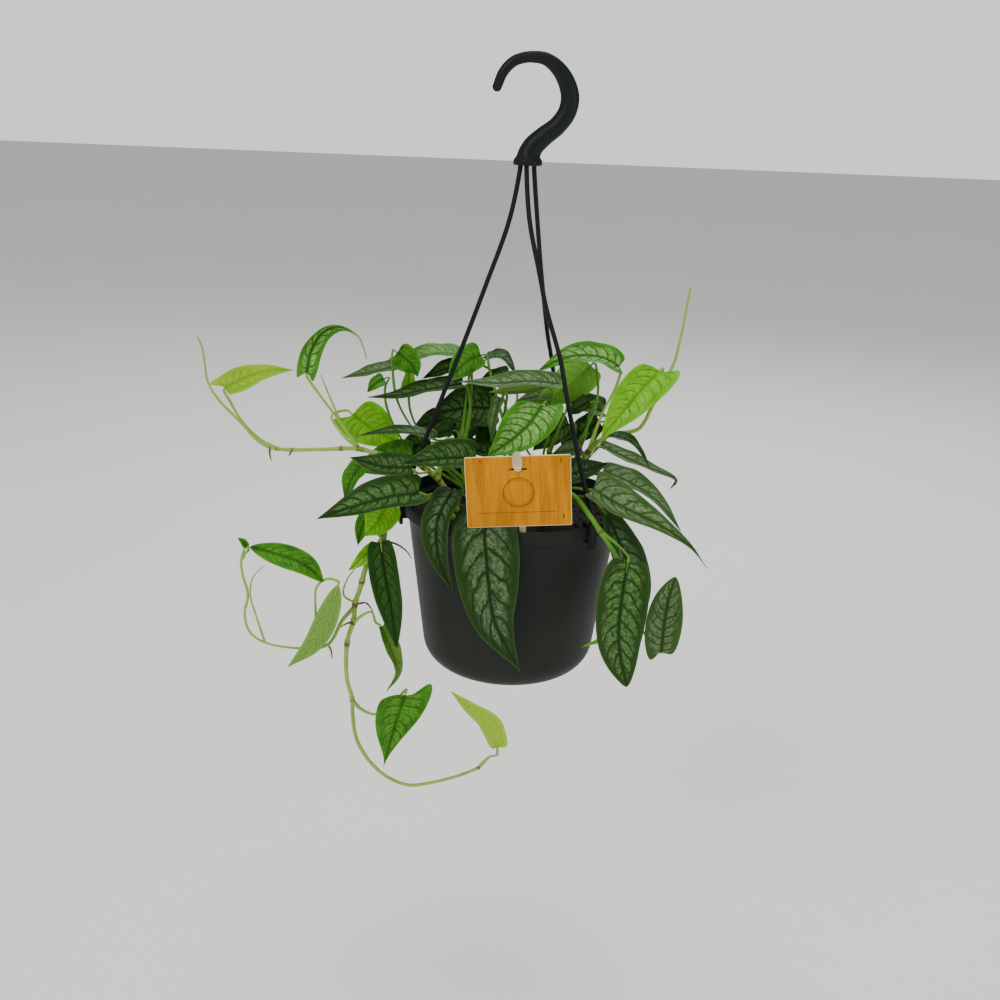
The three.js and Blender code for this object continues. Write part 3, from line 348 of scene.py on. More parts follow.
leaves = {
    "leaf_far_left": grown("young", 17.5, (0.1, -0.85, 0.5), [[-189.5, -10, -206.3],
        [-176, -11, -199], [-161, -12, -193.7], [-144, -14, -191.7]], lobe=0.1, skew=0.12, taper=1,
        wave=1.4, look="pale"),
    "leaf_left_arch": grown("young", 14.5, (0, -1, 0.05), [[-135, -20, -192], [-131.5, -20, -176.5],
        [-123.5, -20, -164.7], [-113, -20, -161.5], [-102.5, -20, -167], [-96.5, -20, -182.5]],
        lobe=0.1, taper=1.1, turn=100, look="fresh"),
    "leaf_left_heart": grown("young", 33, (0, -0.9, 0.45), [[-111, 24, -229], [-97, 21, -238],
        [-77, 17, -247]], lobe=0.12, skew=-0.14, under=0.3),
    "leaf_left_dark": grown("dark", 17, (0, -0.15, 1), [[-53, -4, -236], [-69, -5, -233],
        [-87, -8, -232.5], [-104, -11, -234.5]]),
    "leaf_left_low": grown("dark", 23, (-0.2, -0.5, 0.85), [[-66, -32, -249], [-86, -34, -248],
        [-106, -33, -243]]),
    "leaf_left_hanging": grown("green", 15, (-0.5, -0.8, 0.2), [[-99, -18, -251], [-106, -20, -261],
        [-111, -20, -277]]),
    "leaf_left_rim": grown("dark", 29, (-0.15, -0.6, 0.8), [[-59.5, -56, -258], [-80, -62, -260],
        [-101, -66, -266], [-122, -68, -273.5]], fold=14, lobe=0.09),
    "leaf_front_left": grown("silver", 26, (0, -0.6, 0.8), [[-25, -44, -237], [-47, -50, -237],
        [-71, -54, -240]], fold=20, look="dark"),
    "leaf_top_left": grown("dark", 29, (0.05, -0.1, 1), [[-39, 23, -185], [-56, 22, -184.5],
        [-71, 18, -187], [-86, 13, -187]], lobe=0.04, fold=4, look="green"),
    "leaf_top_left_tip": grown("silver", 16, (0, -0.3, 0.95), [[-80, 22, -194], [-97, 18, -198],
        [-117.5, 14, -202]], look="lit_frost"),
    "leaf_top_left_long": grown("dark", 20, (0, -0.3, 0.95), [[-37, 14, -203], [-61, 10, -207],
        [-80, 6, -211], [-99, 4, -212]]),
    "leaf_top_bright": grown("green", 21, (0.2, -0.7, 0.6), [[-25, 10, -182], [-33, 9, -186],
        [-47, 7, -200]]),
    "leaf_top_dark": grown("dark", 21, (0.2, -0.1, 1), [[-22, 30, -188], [-12, 28, -187],
        [-1, 25, -197]]),
    "leaf_top_long": grown("silver", 21, (0, -0.35, 0.93), [[26, -20, -193], [7, -25, -191],
        [-15, -28, -192.5], [-38, -30, -191.5]], lobe=0.08, look="lit_frost"),
    "leaf_top_under": grown("under", 18, (0, 0.7, 0.6), [[18, 2, -199], [-2, 0, -203],
        [-19, -2, -204]]),
    "leaf_centre_narrow": grown("silver", 14, (-0.8, -0.5, 0.2), [[-11, -20, -203],
        [-14, -24, -217], [-16, -28, -231]], look="lit_frost"),
    "leaf_centre_front": grown("silver", 32, (-0.1, -0.9, 0.4), [[15, -46, -201], [7, -49, -213],
        [-5, -52, -224], [-18, -54, -233]], lobe=0.08, skew=0.14, look="fresh"),
    "leaf_top_right": grown("green", 23, (0, -0.5, 0.85), [[65, -4, -183.5], [53, -6, -177.5],
        [32, -8, -177.5], [11, -4, -189]], lobe=0.07, look="fresh"),
    "leaf_right_under": grown("young", 28, (0.3, 0.8, 0.2), [[48, 20, -188], [36, 18, -200],
        [23, 16, -209], [10, 14, -214]], look="green"),
    "leaf_right_dark": grown("dark", 26, (0.2, -0.4, 0.9), [[59, 26, -221], [47, 26, -218],
        [32, 28, -215]]),
    "leaf_right_bright": grown("young", 28, (0.1, -0.85, 0.5), [[88.5, -24, -181], [78, -28, -192],
        [66, -32, -207], [53, -36, -224]], lobe=0.08, skew=0.12),
    "leaf_right_thin": grown("dark", 13, (0.2, -0.2, 0.95), [[58, -24, -224], [72, -25, -227],
        [80, -26, -234], [87, -27, -245]]),
    "leaf_right_back": grown("silver", 15, (0.2, -0.3, 0.93), [[58, 12, -241], [74, 10, -248],
        [92, 8, -254.5], [109, 6, -261.5], [105, 6, -268]], look="lit_frost"),
    "leaf_right_silver": grown("silver", 24, (0.4, -0.3, 0.85), [[57, -22, -249], [74, -26, -254.5],
        [93, -29, -266], [110, -31, -285]], look="lit_frost"),
    "leaf_right_long": grown("dark", 29, (0.2, -0.65, 0.73), [[49, -50, -253], [68, -55, -262],
        [93, -58, -273], [112, -60, -285], [124, -61, -299]], fold=20, taper=1.7, drip=0.3,
        look="lit_frost"),
    "leaf_right_hanging": grown("silver", 26, (0.5, -0.8, 0.3), [[59.5, -49, -269.5],
        [69.5, -47, -291], [82.5, -43, -321], [87.5, -40, -347]], swell=0.85, taper=0.7),
    "leaf_front_right": grown("silver", 34, (0.05, -0.98, 0.15), [[72, -74, -292],
        [69.5, -78, -310], [69, -80, -342], [76.5, -78, -375]], lobe=0.06, taper=0.62, drip=0.3,
        look="dark"),
    "leaf_right_round": grown("silver", 25, (-0.15, -0.95, 0.25), [[100, -54, -360.5],
        [100.5, -52, -345], [102.5, -48, -327], [106.5, -45, -311]], lobe=0.1, skew=0.06,
        swell=0.55, taper=0.6, drip=0.3, under=3, look="lit_frost"),
    "leaf_front_drape": grown("silver", 41, (0, -0.7, 0.7), [[-15, -52, -264.5], [-17, -64, -269.5],
        [-17.5, -75.6, -274], [-17, -80.6, -280.5], [-16, -83, -287], [-14, -86.5, -304],
        [-9, -87.5, -330], [8, -86, -363]], lobe=0.02, swell=0.5, taper=0.75, fold=1, cup=2,
        drip=0.75),
    "leaf_front_side": grown("dark", 21, (-0.3, -0.8, 0.5), [[-38, -52, -256], [-43, -64, -262],
        [-47, -73, -272], [-45.5, -78, -290], [-36, -79, -314]], lobe=0.03, look="silver"),
    "leaf_trail_dark": grown("dark", 21, (-0.1, -0.98, 0.15), [[-84.5, -44, -296],
        [-81.5, -46, -315], [-77, -48, -338], [-72.5, -49, -368]], taper=0.7, look="deep"),
    "leaf_trail_thin": grown("under", 14, (0.8, -0.5, 0.1), [[-84, -36, -358], [-78, -38, -372],
        [-73, -39, -389], [-80, -40, -404]]),
    "leaf_trail_far": grown("green", 17, (0.2, -0.85, 0.5), [[-168, -48, -301], [-146, -50, -306],
        [-131, -52, -311], [-120, -54, -321]], lobe=0, swell=1, taper=0.6),
    "leaf_trail_under": grown("under", 16, (0.2, 0.9, 0.3), [[-111, -50, -324], [-117, -52, -343],
        [-127, -53, -365], [-144, -54, -382]], lobe=0, swell=1),
    "leaf_trail_heart": grown("green", 35, (0.1, -0.95, 0.2), [[-67, -46, -403], [-73.5, -50, -425],
        [-80.5, -52, -455]], lobe=0.14, skew=0.2, taper=1.5, fold=16),
    "leaf_trail_tip": grown("under", 18, (0.3, 0.9, 0.1), [[-4, -50, -437], [-10, -50, -422],
        [-22.5, -50, -410], [-36.5, -50, -396.5]], look="pale"),
    "leaf_trail_top": grown("young", 24, (0, -0.9, 0.3), [[-80, -40, -270], [-87, -42, -283],
        [-95, -42, -293]]),
    "leaf_inner_left": grown("dark", 22, (0, -0.3, 0.95), [[-15, 27, -254], [-34, 29, -251],
        [-54, 30, -246]]),
    "leaf_inner_back": grown("dark", 36, (0, -0.75, 0.65), [[-14, 36, -224], [-35, 33, -224],
        [-60, 29, -229]]),
    "leaf_inner_low": grown("dark", 36, (-0.3, -0.8, 0.4), [[-27, 52, -221], [-34, 48, -236],
        [-38, 43, -255]]),
    "leaf_inner_right": grown("silver", 21, (-0.2, -0.6, 0.75), [[31, -30, -251], [44, -28, -247.5],
        [60, -25, -242.5]]),
    "leaf_back_drape": grown("dark", 33, (-0.3, 0.8, 0.5), [[-26, 56, -256], [-38, 76, -266],
        [-44, 86, -288], [-46, 88, -314]]),
    "leaf_back_right": grown("silver", 26, (0.2, 0.4, 0.9), [[8, 48, -240], [18, 68, -244],
        [26, 90, -262]]),
}
# Leaves deep in the crown, seen only between the others. No node stands for them.
innerLeaves = {
    "inner_top_lobe": grown("green", 19, (-0.2, -0.9, 0.4), [[-80, 7, -182], [-75, 7, -185.5],
        [-69.4, 7, -190.4], [-66, 7, -197.6]]),
    "inner_top_small": grown("green", 10, (-0.2, -0.9, 0.4), [[-89, 13, -201], [-95, 13, -205],
        [-100.3, 13, -211]], look="fresh"),
    "inner_top": grown("dark", 15, (0, -0.6, 0.8), [[-36, 19, -191], [-48, 19, -194],
        [-64, 18, -201]]),
    "inner_top_gap": grown("dark", 14, (0, -0.6, 0.8), [[-6, 20, -196], [-17, 19, -199.5],
        [-29, 18, -205]]),
    "inner_mid_left": grown("dark", 22, (0, -0.6, 0.8), [[-44, 32, -232], [-57, 32, -234.5],
        [-72, 31, -240]], look="deep"),
    "inner_low_left": grown("dark", 20, (0, -0.7, 0.7), [[-57, 12, -243], [-69, 12, -247],
        [-82, 11, -252]]),
    "inner_far_left": grown("green", 26, (-0.1, -0.9, 0.45), [[-68, 3, -251], [-87, 3, -255],
        [-107, 2, -263]]),
    "inner_trail": grown("green", 13, (0.1, -0.9, 0.2), [[-91, -28, -279], [-97.5, -29, -290],
        [-101, -30, -304]]),
    "inner_middle": grown("dark", 20, (0, -0.9, 0.3), [[-16, 38, -239], [-19, 37, -246],
        [-21, 35, -258]], look="deep"),
    "inner_centre": grown("silver", 14, (0, -0.5, 0.85), [[23, 16, -207], [11, 16, -210.5],
        [-2, 15, -214]], look="lit_frost"),
    "inner_low_mid": grown("dark", 16, (0, -0.6, 0.8), [[-43, 16, -235], [-50.5, 16, -237],
        [-58, 16, -240]], look="deep"),
    "inner_gap_right": grown("dark", 14, (0, -0.6, 0.8), [[48, 12, -211], [41, 12, -215.4],
        [34, 12, -220.5]]),
    "inner_behind": grown("dark", 24, (0, -0.7, 0.7), [[36, 20, -229], [25, 20, -236],
        [12, 19, -248]]),
    "inner_right_low": grown("dark", 20, (0, -0.7, 0.7), [[57, 30, -229], [45, 30, -237],
        [32, 30, -246]]),
    "inner_right_front": grown("silver", 16, (0, -0.5, 0.85), [[44, -6, -240], [35, -6, -240.5],
        [24, -6, -243]], look="lit_frost"),
    "inner_curl": grown("green", 5, (0.3, -0.9, 0.3), [[-170, -48, -301], [-172.5, -48, -297.5],
        [-176, -47, -295.5]]),
}
stems = {
    "vine_left": {
        "radius": (2, 0.6),
        "line": [[-30, -2, -302], [-36, -2, -288], [-50, -6, -264], [-68, -12, -250],
            [-86, -12, -247], [-103, -12, -243], [-128, -14, -244], [-156, -16, -244],
            [-166, -17, -240], [-179, -18, -226], [-192, -19, -212], [-198, -20, -201],
            [-201, -20, -179], [-204, -20, -171]],
        "stalks": {
            "leaf_far_left": [[-156, -16, -244], [-169, -12, -238], [-181, -9, -226],
                [-187, -9, -215]],
            "leaf_left_arch": [[-103, -12, -242], [-116, -16, -222], [-126, -18, -208]],
            "leaf_left_heart": [[-100, -12, -244], [-114, 0, -238], [-124, 14, -228]],
            "leaf_left_dark": [[-54, -7.5, -261], [-48, -7, -250]],
            "leaf_left_low": [[-58, -10, -257], [-58, -24, -254]],
            "leaf_left_hanging": [[-90, -12, -246], [-94, -13, -247]],
            "inner_low_left": [[-50, -6, -264], [-50, 6, -252]],
            "inner_far_left": [[-62, -9, -255], [-60, -2, -254]],
        },
        "roots": [
            [[-160, -16.5, -243], [-160, -17, -248], [-159, -17, -252]],
            [[-146, -15, -244], [-147, -15, -247], [-148, -15, -249]],
            [[-115, -16, -222], [-122, -15, -206], [-127, -14, -194]],
        ],
    },
    "vine_trailing": {
        "radius": (2.1, 1),
        "line": [[-26, -14, -304], [-36, -18, -289], [-56, -26, -270], [-72, -31, -267],
            [-81, -33, -277], [-84, -34, -297], [-91, -34, -306], [-95, -34, -317],
            [-99, -34, -333], [-102, -34, -343], [-103, -34, -355], [-107, -34, -370],
            [-108, -34, -386], [-107, -34, -401], [-104, -34, -412], [-103.5, -34, -425],
            [-100.5, -36, -442.5], [-90.5, -38, -459], [-78, -40, -469], [-64, -42, -473],
            [-51, -44, -470], [-30, -46, -462], [-15, -48, -453.5]],
        "stalks": {
            "leaf_trail_tip": [[-16, -48, -453.5], [-9, -47, -446]],
            "leaf_trail_dark": [[-84, -34, -297], [-88, -38, -291]],
            "leaf_trail_thin": [[-103, -34, -357], [-97, -38, -350], [-91, -38, -347]],
            "leaf_trail_heart": [[-104, -34, -414], [-97, -36, -420], [-87, -38, -422],
                [-76, -39, -413]],
            "leaf_trail_top": [[-74, -32, -268], [-76, -34, -266]],
            "leaf_trail_far": [[-102, -34, -345], [-110, -38, -354], [-119, -42, -370],
                [-135, -44, -372.5], [-160, -46, -368.5], [-169.5, -47, -361], [-172.5, -48, -348],
                [-170, -48, -334], [-173, -48, -321], [-174, -47, -311]],
            "leaf_trail_under": [[-123, -42.5, -371], [-126, -42, -359], [-127, -43, -342],
                [-126, -45, -329], [-120, -50, -321], [-115, -53, -319]],
            "inner_trail": [[-81, -33, -277], [-85, -31, -276]],
            "inner_curl": [[-173, -47, -310], [-171.5, -47.5, -306]],
        },
        "roots": [
            [[-160, -46, -368.5], [-166, -43, -351], [-170, -41, -337], [-168, -40, -325],
                [-161, -40, -317]],
            [[-101.5, -34, -343], [-109, -38, -336], [-107, -40, -325], [-101, -42, -315],
                [-96, -41, -308]],
            [[-86, -34, -298.5], [-76, -34, -300], [-69, -35, -304], [-65, -36, -309]],
            [[-102, -34, -344], [-95, -33, -343], [-90, -33, -349]],
            [[-119, -42, -370], [-117, -42, -374], [-116, -43, -380]],
            [[-103, -34, -356], [-109, -33, -359], [-113, -33, -362]],
        ],
        "buds": [
            grown("young", 10, (0, -0.95, 0.3), [[-90, -34, -303], [-97, -38, -310],
                [-106, -40, -318]], pairs=5),
        ],
    },
    "vine_right": {
        "radius": (2, 0.7),
        "line": [[18, 6, -302], [24, 4, -288], [38, -2, -262], [48, -10, -239], [59, -15, -227],
            [78, -18, -221], [82, -18, -216], [86, -18, -206], [90, -18, -197], [95, -14, -187],
            [99, -12, -177], [102, -10, -162], [106, -8, -130]],
        "stalks": {
            "leaf_top_right": [[48, -9, -239], [52, -5, -226], [57, -3, -212], [63, -2, -199]],
            "leaf_right_bright": [[90, -18, -198], [92, -20, -193]],
            "leaf_right_thin": [[48, -10, -238], [51, -16, -231]],
            "leaf_right_back": [[48, -9, -240], [51, 2, -244]],
            "leaf_right_silver": [[44, -7, -247], [48, -17, -250]],
            "inner_right_front": [[48, -10, -239], [47, -8, -239]],
        },
    },
    "vine_front": {
        "radius": (2, 1.4),
        "line": [[14, -16, -302], [18, -22, -288], [24, -36, -266], [30, -48, -256],
            [38, -58, -256], [46, -64, -264], [54, -69, -274], [61, -68, -284], [68, -66.5, -297],
            [74, -65, -314]],
        "stalks": {
            "leaf_front_right": [[54, -69, -274], [64, -70, -281]],
            "leaf_right_round": [[74, -65, -313], [80, -56, -334], [92, -45, -355]],
            "leaf_right_hanging": [[20, -27, -280], [38, -26, -266], [50, -34, -264]],
            "leaf_right_long": [[24, -36, -266], [33, -41, -256], [40, -45, -254]],
            "leaf_inner_right": [[21, -29, -276], [24, -29, -262]],
        },
        "buds": [
            grown("young", 8, (0, -0.9, 0.3), [[73.5, -65, -313], [68, -68, -334], [60, -70, -345],
                [47, -70, -352]], pairs=5),
        ],
    },
    "stems_left": {
        "radius": (2.2, 1.4),
        "line": [[-20, 8, -302], [-27, 10, -287], [-34, 10, -262], [-36, 12, -236]],
        "stalks": {
            "leaf_top_left": [[-36, 12, -238], [-34, 16, -212], [-33, 20, -190]],
            "leaf_top_left_long": [[-35, 11, -246], [-31, 12, -222]],
            "leaf_top_left_tip": [[-30, 10, -276], [-56, 22, -254], [-72, 26, -226],
                [-74, 26, -204]],
            "leaf_inner_left": [[-28, 10, -284], [-14, 20, -268]],
            "inner_top_lobe": [[-31, 10, -270], [-60, 14, -246], [-79, 13, -218], [-83, 8, -192]],
            "inner_top_small": [[-30, 10, -276], [-72, 18, -250], [-87, 16, -222], [-88, 14, -206]],
            "inner_top": [[-34, 11, -240], [-31, 17, -212]],
            "inner_low_mid": [[-31, 10, -270], [-38, 15, -240]],
            "inner_mid_left": [[-31, 10, -272], [-36, 28, -246]],
            "inner_middle": [[-24, 10, -292], [-14, 34, -256]],
        },
        "buds": [
            grown("young", 11, (0, -0.8, 0.5), [[-74, 27, -214], [-73, 23, -206], [-73, 18, -198],
                [-75, 15, -191]], pairs=5),
        ],
    },
    "stems_centre": {
        "radius": (2.2, 1.4),
        "line": [[0, 14, -302], [-2, 12, -288], [-4, 6, -262], [-2, 8, -236]],
        "stalks": {
            "leaf_top_bright": [[-3, 7, -240], [-12, 6, -214], [-19, 10, -192]],
            "leaf_top_dark": [[-3, 7, -242], [-7, 22, -220], [-18, 36, -198]],
            "leaf_top_under": [[-3, 8, -238], [10, 2, -222], [22, 0, -210]],
            "leaf_centre_narrow": [[-4, 6, -258], [-10, -10, -230], [-8, -16, -212]],
            "leaf_inner_back": [[-3, 8, -254], [-5, 28, -243], [-8, 39, -235]],
            "inner_top_gap": [[-3, 8, -240], [0, 16, -214]],
            "inner_centre": [[-3, 8, -240], [14, 13, -220]],
        },
    },
    "stems_right": {
        "radius": (2.2, 1.4),
        "line": [[34, 14, -302], [30, 14, -288], [26, 10, -262], [22, -2, -240]],
        "stalks": {
            "leaf_top_long": [[23, 0, -243], [28, -14, -222], [32, -20, -204]],
            "leaf_centre_front": [[24, 4, -250], [18, -26, -238], [20, -40, -218]],
            "leaf_right_under": [[27, 11, -266], [42, 10, -240], [53, 10, -208]],
            "leaf_right_dark": [[28, 12, -272], [52, 26, -252], [65, 30, -234]],
            "leaf_back_right": [[29, 13, -280], [18, 28, -264], [7, 38, -250]],
            "inner_gap_right": [[28, 12, -272], [46, 17, -240], [49, 14, -218]],
            "inner_behind": [[27, 11, -266], [38, 17, -242]],
            "inner_right_low": [[29, 13, -278], [52, 30, -246]],
        },
    },
    "stems_front": {
        "radius": (2, 1.2),
        "line": [[-8, -24, -304], [-10, -30, -288], [-12, -44, -274]],
        "stalks": {
            "leaf_front_drape": [[-12, -43, -275], [-14, -52, -270]],
            "leaf_front_side": [[-10, -32, -286], [-22, -38, -268], [-29, -44, -263]],
            "leaf_front_left": [[-10, -31, -287], [-16, -32, -262], [-20, -38, -246]],
            "leaf_left_rim": [[-10, -33, -285], [-30, -40, -272], [-50, -50, -260]],
        },
    },
    "stems_back": {
        "radius": (2, 1.2),
        "line": [[-10, 34, -304], [-14, 38, -288], [-16, 44, -268]],
        "stalks": {
            "leaf_inner_low": [[-16, 42, -272], [-18, 54, -246], [-24, 58, -228]],
            "leaf_back_drape": [[-16, 43, -270], [-20, 50, -262]],
        },
    },
}
# Strands of the hanger: where on the rim each is clipped (degrees), and its line from the collar
strands = {
    "left": {"angle": 195, "line": [[-4.3, -1, -56.8], [-4.5, -1, -61.6], [-9.9, -3.5, -93],
        [-22.9, -7.2, -133], [-37.2, -10.8, -174], [-49.6, -13.8, -208], [-59.7, -16.3, -236]]},
    "right": {"angle": -49, "line": [[-0.6, -4.4, -56.8], [-0.6, -4.6, -61.6], [2.5, -12, -92],
        [9.9, -20, -123], [14.8, -25, -143], [25.6, -33.2, -176], [30.7, -38.8, -199],
        [41.5, -49.8, -242]]},
    "back": {"angle": 60, "line": [[4.1, 1.4, -56.8], [4.2, 1.9, -61.6], [9.3, 14.6, -106],
        [13, 22.8, -134], [18.9, 34.2, -172], [21.9, 40, -186]]},
}

# Leaf finishes. between: blade between the veins. silver: the pale marks there. vein: midrib and
# side veins. rim: a second ground colour, in broad patches across the blade. below: underside.
# marks and lines: strength of the silver and of the veins. band: mm of plain margin. glow: light
# carried through a young blade.
toneKeys = ("between", "silver", "vein", "rim", "below", "marks", "lines", "band", "glow")
# A look given to a leaf apart from its tone is a copy lighter or darker than the leaf's own
# colours, so it carries painted light and shade: lit_frost is a lighter, greyer silver for leaves
# that face the light above, and deep a darker, stronger green for leaves deep in the crown.
leafTones = {
    "dark": ("#22430a", "#668f48", "#0f2a06", "#20450a", "#4f7228", 0.85, 0.75, 4.0, 0.0),
    "deep": ("#174501", "#467c18", "#082001", "#1e4003", "#456a20", 0.5, 0.9, 4.0, 0.0),
    "silver": ("#1b3a09", "#698658", "#0d1c06", "#22420c", "#4d6e35", 0.85, 0.8, 6.5, 0.0),
    "lit_frost": ("#3d5e25", "#829c6e", "#274518", "#385f20", "#5f7f45", 0.95, 0.7, 2.5, 0.0),
    "green": ("#448a0b", "#78b63c", "#1c4a06", "#2c6606", "#5f9426", 0.5, 0.75, 3.0, 0.1),
    "fresh": ("#478e12", "#a4d27a", "#1a4a07", "#3a7a0a", "#64a028", 0.95, 0.75, 3.0, 0.1),
    "young": ("#78bf0a", "#a6e030", "#3f8404", "#5fa604", "#86bf16", 0.6, 0.6, 2.5, 0.2),
    "pale": ("#94c01a", "#b4d840", "#64940c", "#8ab812", "#86b30e", 0.5, 0.4, 2.0, 0.2),
    "under": ("#5f8f2c", "#86ad50", "#3f6a1e", "#5a8826", "#6a9a34", 0.5, 0.6, 2.0, 0.1),
}
# Leaf pattern. Shares of the gap between two side veins, unless noted; noise scales are per mm.
veinSet = {
    "wander": 0.5, "drift": 0.8,                             # how far noise bends the side veins
    "wanderScale": 0.13, "driftScale": 0.04,
    "width": 0.05, "taper": -0.05, "midWidth": 0.055,        # side veins, and the weak one between
    "featherTurns": 5.0,                                     # fine branches in one gap
    "ribWidth": 1.15, "ribTaper": -0.75,                     # midrib at the base, in mm, to the tip
    "silverEnd": 0.98, "silverFull": 0.42,                   # silver across, as shares of the half
    "fineScale": 0.7, "mottleScale": 0.3, "patchScale": 0.09,
    "midStrength": 0.55, "featherStrength": 0.62,
}


def leafFinish(name, tone):
    # blade = (s, t, side): s from -1 to 1 across, t from base to tip, side 0 above and 1 below.
    # span = (mm across from the midrib, mm along, mm in from the margin), counts = vein phase.
    v = veinSet
    f = Finish("leaf_" + name, Roughness=0.42, Specular_IOR_Level=0.2,
               Subsurface_Weight=tone["glow"], Subsurface_Scale=0.0012)
    f.shader.inputs["Subsurface Radius"].default_value = (0.5, 1.0, 0.2)
    blade, span = f.split(f.attribute("blade")["Vector"]), f.split(f.attribute("span")["Vector"])
    where = f.attribute("span")["Vector"]
    across = f.size(span[0])
    reach = f.size(blade[0])
    wander = f.minus(f.noise(where, v["wanderScale"], 2.0), 0.5)
    drift = f.minus(f.noise(where, v["driftScale"], 1.0), 0.5)
    fine = f.noise(where, v["fineScale"], 4.0, 0.65)
    # Side veins lie where the phase is whole: broad by the midrib, thinner as they arch outward
    phase = f.scaled(wander, v["wander"], f.attribute("counts")["Fac"])
    phase = f.scaled(drift, v["drift"], phase)
    between = f.math("PINGPONG", phase, 0.5)
    width = f.scaled(reach, v["taper"], f.scaled(fine, 0.08, v["width"]))
    side = f.step(between, width, f.times(width, 0.1))
    side = f.times(side, f.step(reach, 1.0, 0.6))
    side = f.times(side, f.scaled(wander, 0.8, 0.85, clamp=True))
    # A weaker vein runs midway between two, and finer ones branch beside it like a feather
    mid = f.minus(0.5, between)
    mid = f.times(f.step(mid, v["midWidth"], 0.01), f.step(reach, 0.75, 0.2))
    feather = f.scaled(reach, 0.9, f.times(phase, v["featherTurns"]))
    feather = f.math("PINGPONG", f.scaled(wander, 2.6, feather), 0.5)
    feather = f.times(f.step(feather, 0.26, 0.05), f.step(fine, 0.25, 0.55))
    feather = f.times(feather, f.step(span[2], 0.8, 3.5))
    midrib = f.step(across, f.scaled(blade[1], v["ribTaper"], v["ribWidth"]), 0.25)
    weak = f.most(f.times(mid, v["midStrength"]), f.times(feather, v["featherStrength"]))
    veins = f.most(f.most(side, midrib), weak)
    # Silver lies in the fields between the veins, most by the midrib, none in the margin band.
    field = f.times(f.step(between, 0.02, 0.2), f.step(across, 0.5, 2.2))
    inside = f.step(f.scaled(wander, 1.1, reach), v["silverEnd"], v["silverFull"])
    inside = f.times(inside, f.step(span[2], tone["band"] * 0.35, tone["band"] * 1.3))
    mottle = f.step(f.noise(where, v["mottleScale"], 2.0), 0.25, 0.6)
    mottle = f.times(f.step(fine, 0.2, 0.62), mottle)
    silver = f.times(f.times(field, inside), mottle)
    silver = f.times(silver, tone["marks"])
    patch = f.noise(where, v["patchScale"], 2.0)
    ground = f.blend(f.step(patch, 0.3, 0.7), rgb(tone["between"]), rgb(tone["rim"]))
    above = f.blend(silver, ground, rgb(tone["silver"]))
    above = f.blend(f.times(veins, tone["lines"]), above, rgb(tone["vein"]))
    above = f.blend(f.times(f.step(span[2], 0.6, 0.1), 0.5), above, rgb(tone["below"]))
    below = f.blend(fine, rgb(tone["below"]), rgb(tone["silver"]))
    below = f.blend(f.times(veins, 0.3), below, rgb(tone["vein"]))
    f.colour(f.blend(f.step(blade[2], 0.4, 0.6), above, below))
    f.roughness(f.scaled(fine, 0.16, f.scaled(blade[2], 0.14, 0.3)))
    f.bump(f.scaled(veins, -1.0, f.times(fine, 0.5)), 0.0004, 0.9)
    return f.material


# Blade, in mm unless noted
bladeSet = {
    "thickness": 0.56, "edge": 0.16,                         # in the middle and at the margin
    "channel": 0.35, "keel": 0.5, "ribHalf": 0.9,            # midrib: above, below, half its width
    "puff": 0.014,                                           # between side veins, of the width
    "sweep": 0.15, "arch": 0.17, "archPower": 3.5,           # side veins lag, shares of the length
    "halfLag": 0.22, "leafLag": 0.13,                        # vein phase between halves and leaves
    "rowPower": 1.25, "ribPower": 1.15, "marginPower": 1.3,  # how rows crowd at the base
    "lobeSpan": 0.12, "skewSpan": 0.03, "dripPower": 7,      # shares of the length, and a power
    "ripples": 13, "rippleLag": 1.7,                         # waves of the margin, in radians
    "flutter": 0.22, "flutters": 29, "flutterLag": 2.1,      # small waves along the edge
    "wide": 17, "fineGrid": (72, 28), "grid": (52, 20),      # rows and columns, wider or narrower
    "apart": 90,                                             # between the noise of two leaves
}


def leafFrame(leaf, share):
    # The rib's place and three directions at each share; shares below 0 run straight back.
    share = np.asarray(share, float)
    place, along, length = alongLine(leaf["rib"], share)
    side = unit(np.cross(along, np.array(leaf["face"], float)))
    turn = (leaf["turn"] * degrees * np.clip(share.ravel(), 0, 1))[:, None]
    side = side * np.cos(turn) + np.cross(along, side) * np.sin(turn)
    normal = unit(np.cross(side, along))
    centre = place + along * (np.minimum(share.ravel(), 0) * length)[:, None]
    return *[way.reshape(*share.shape, 3) for way in (centre, along, side, normal)], length


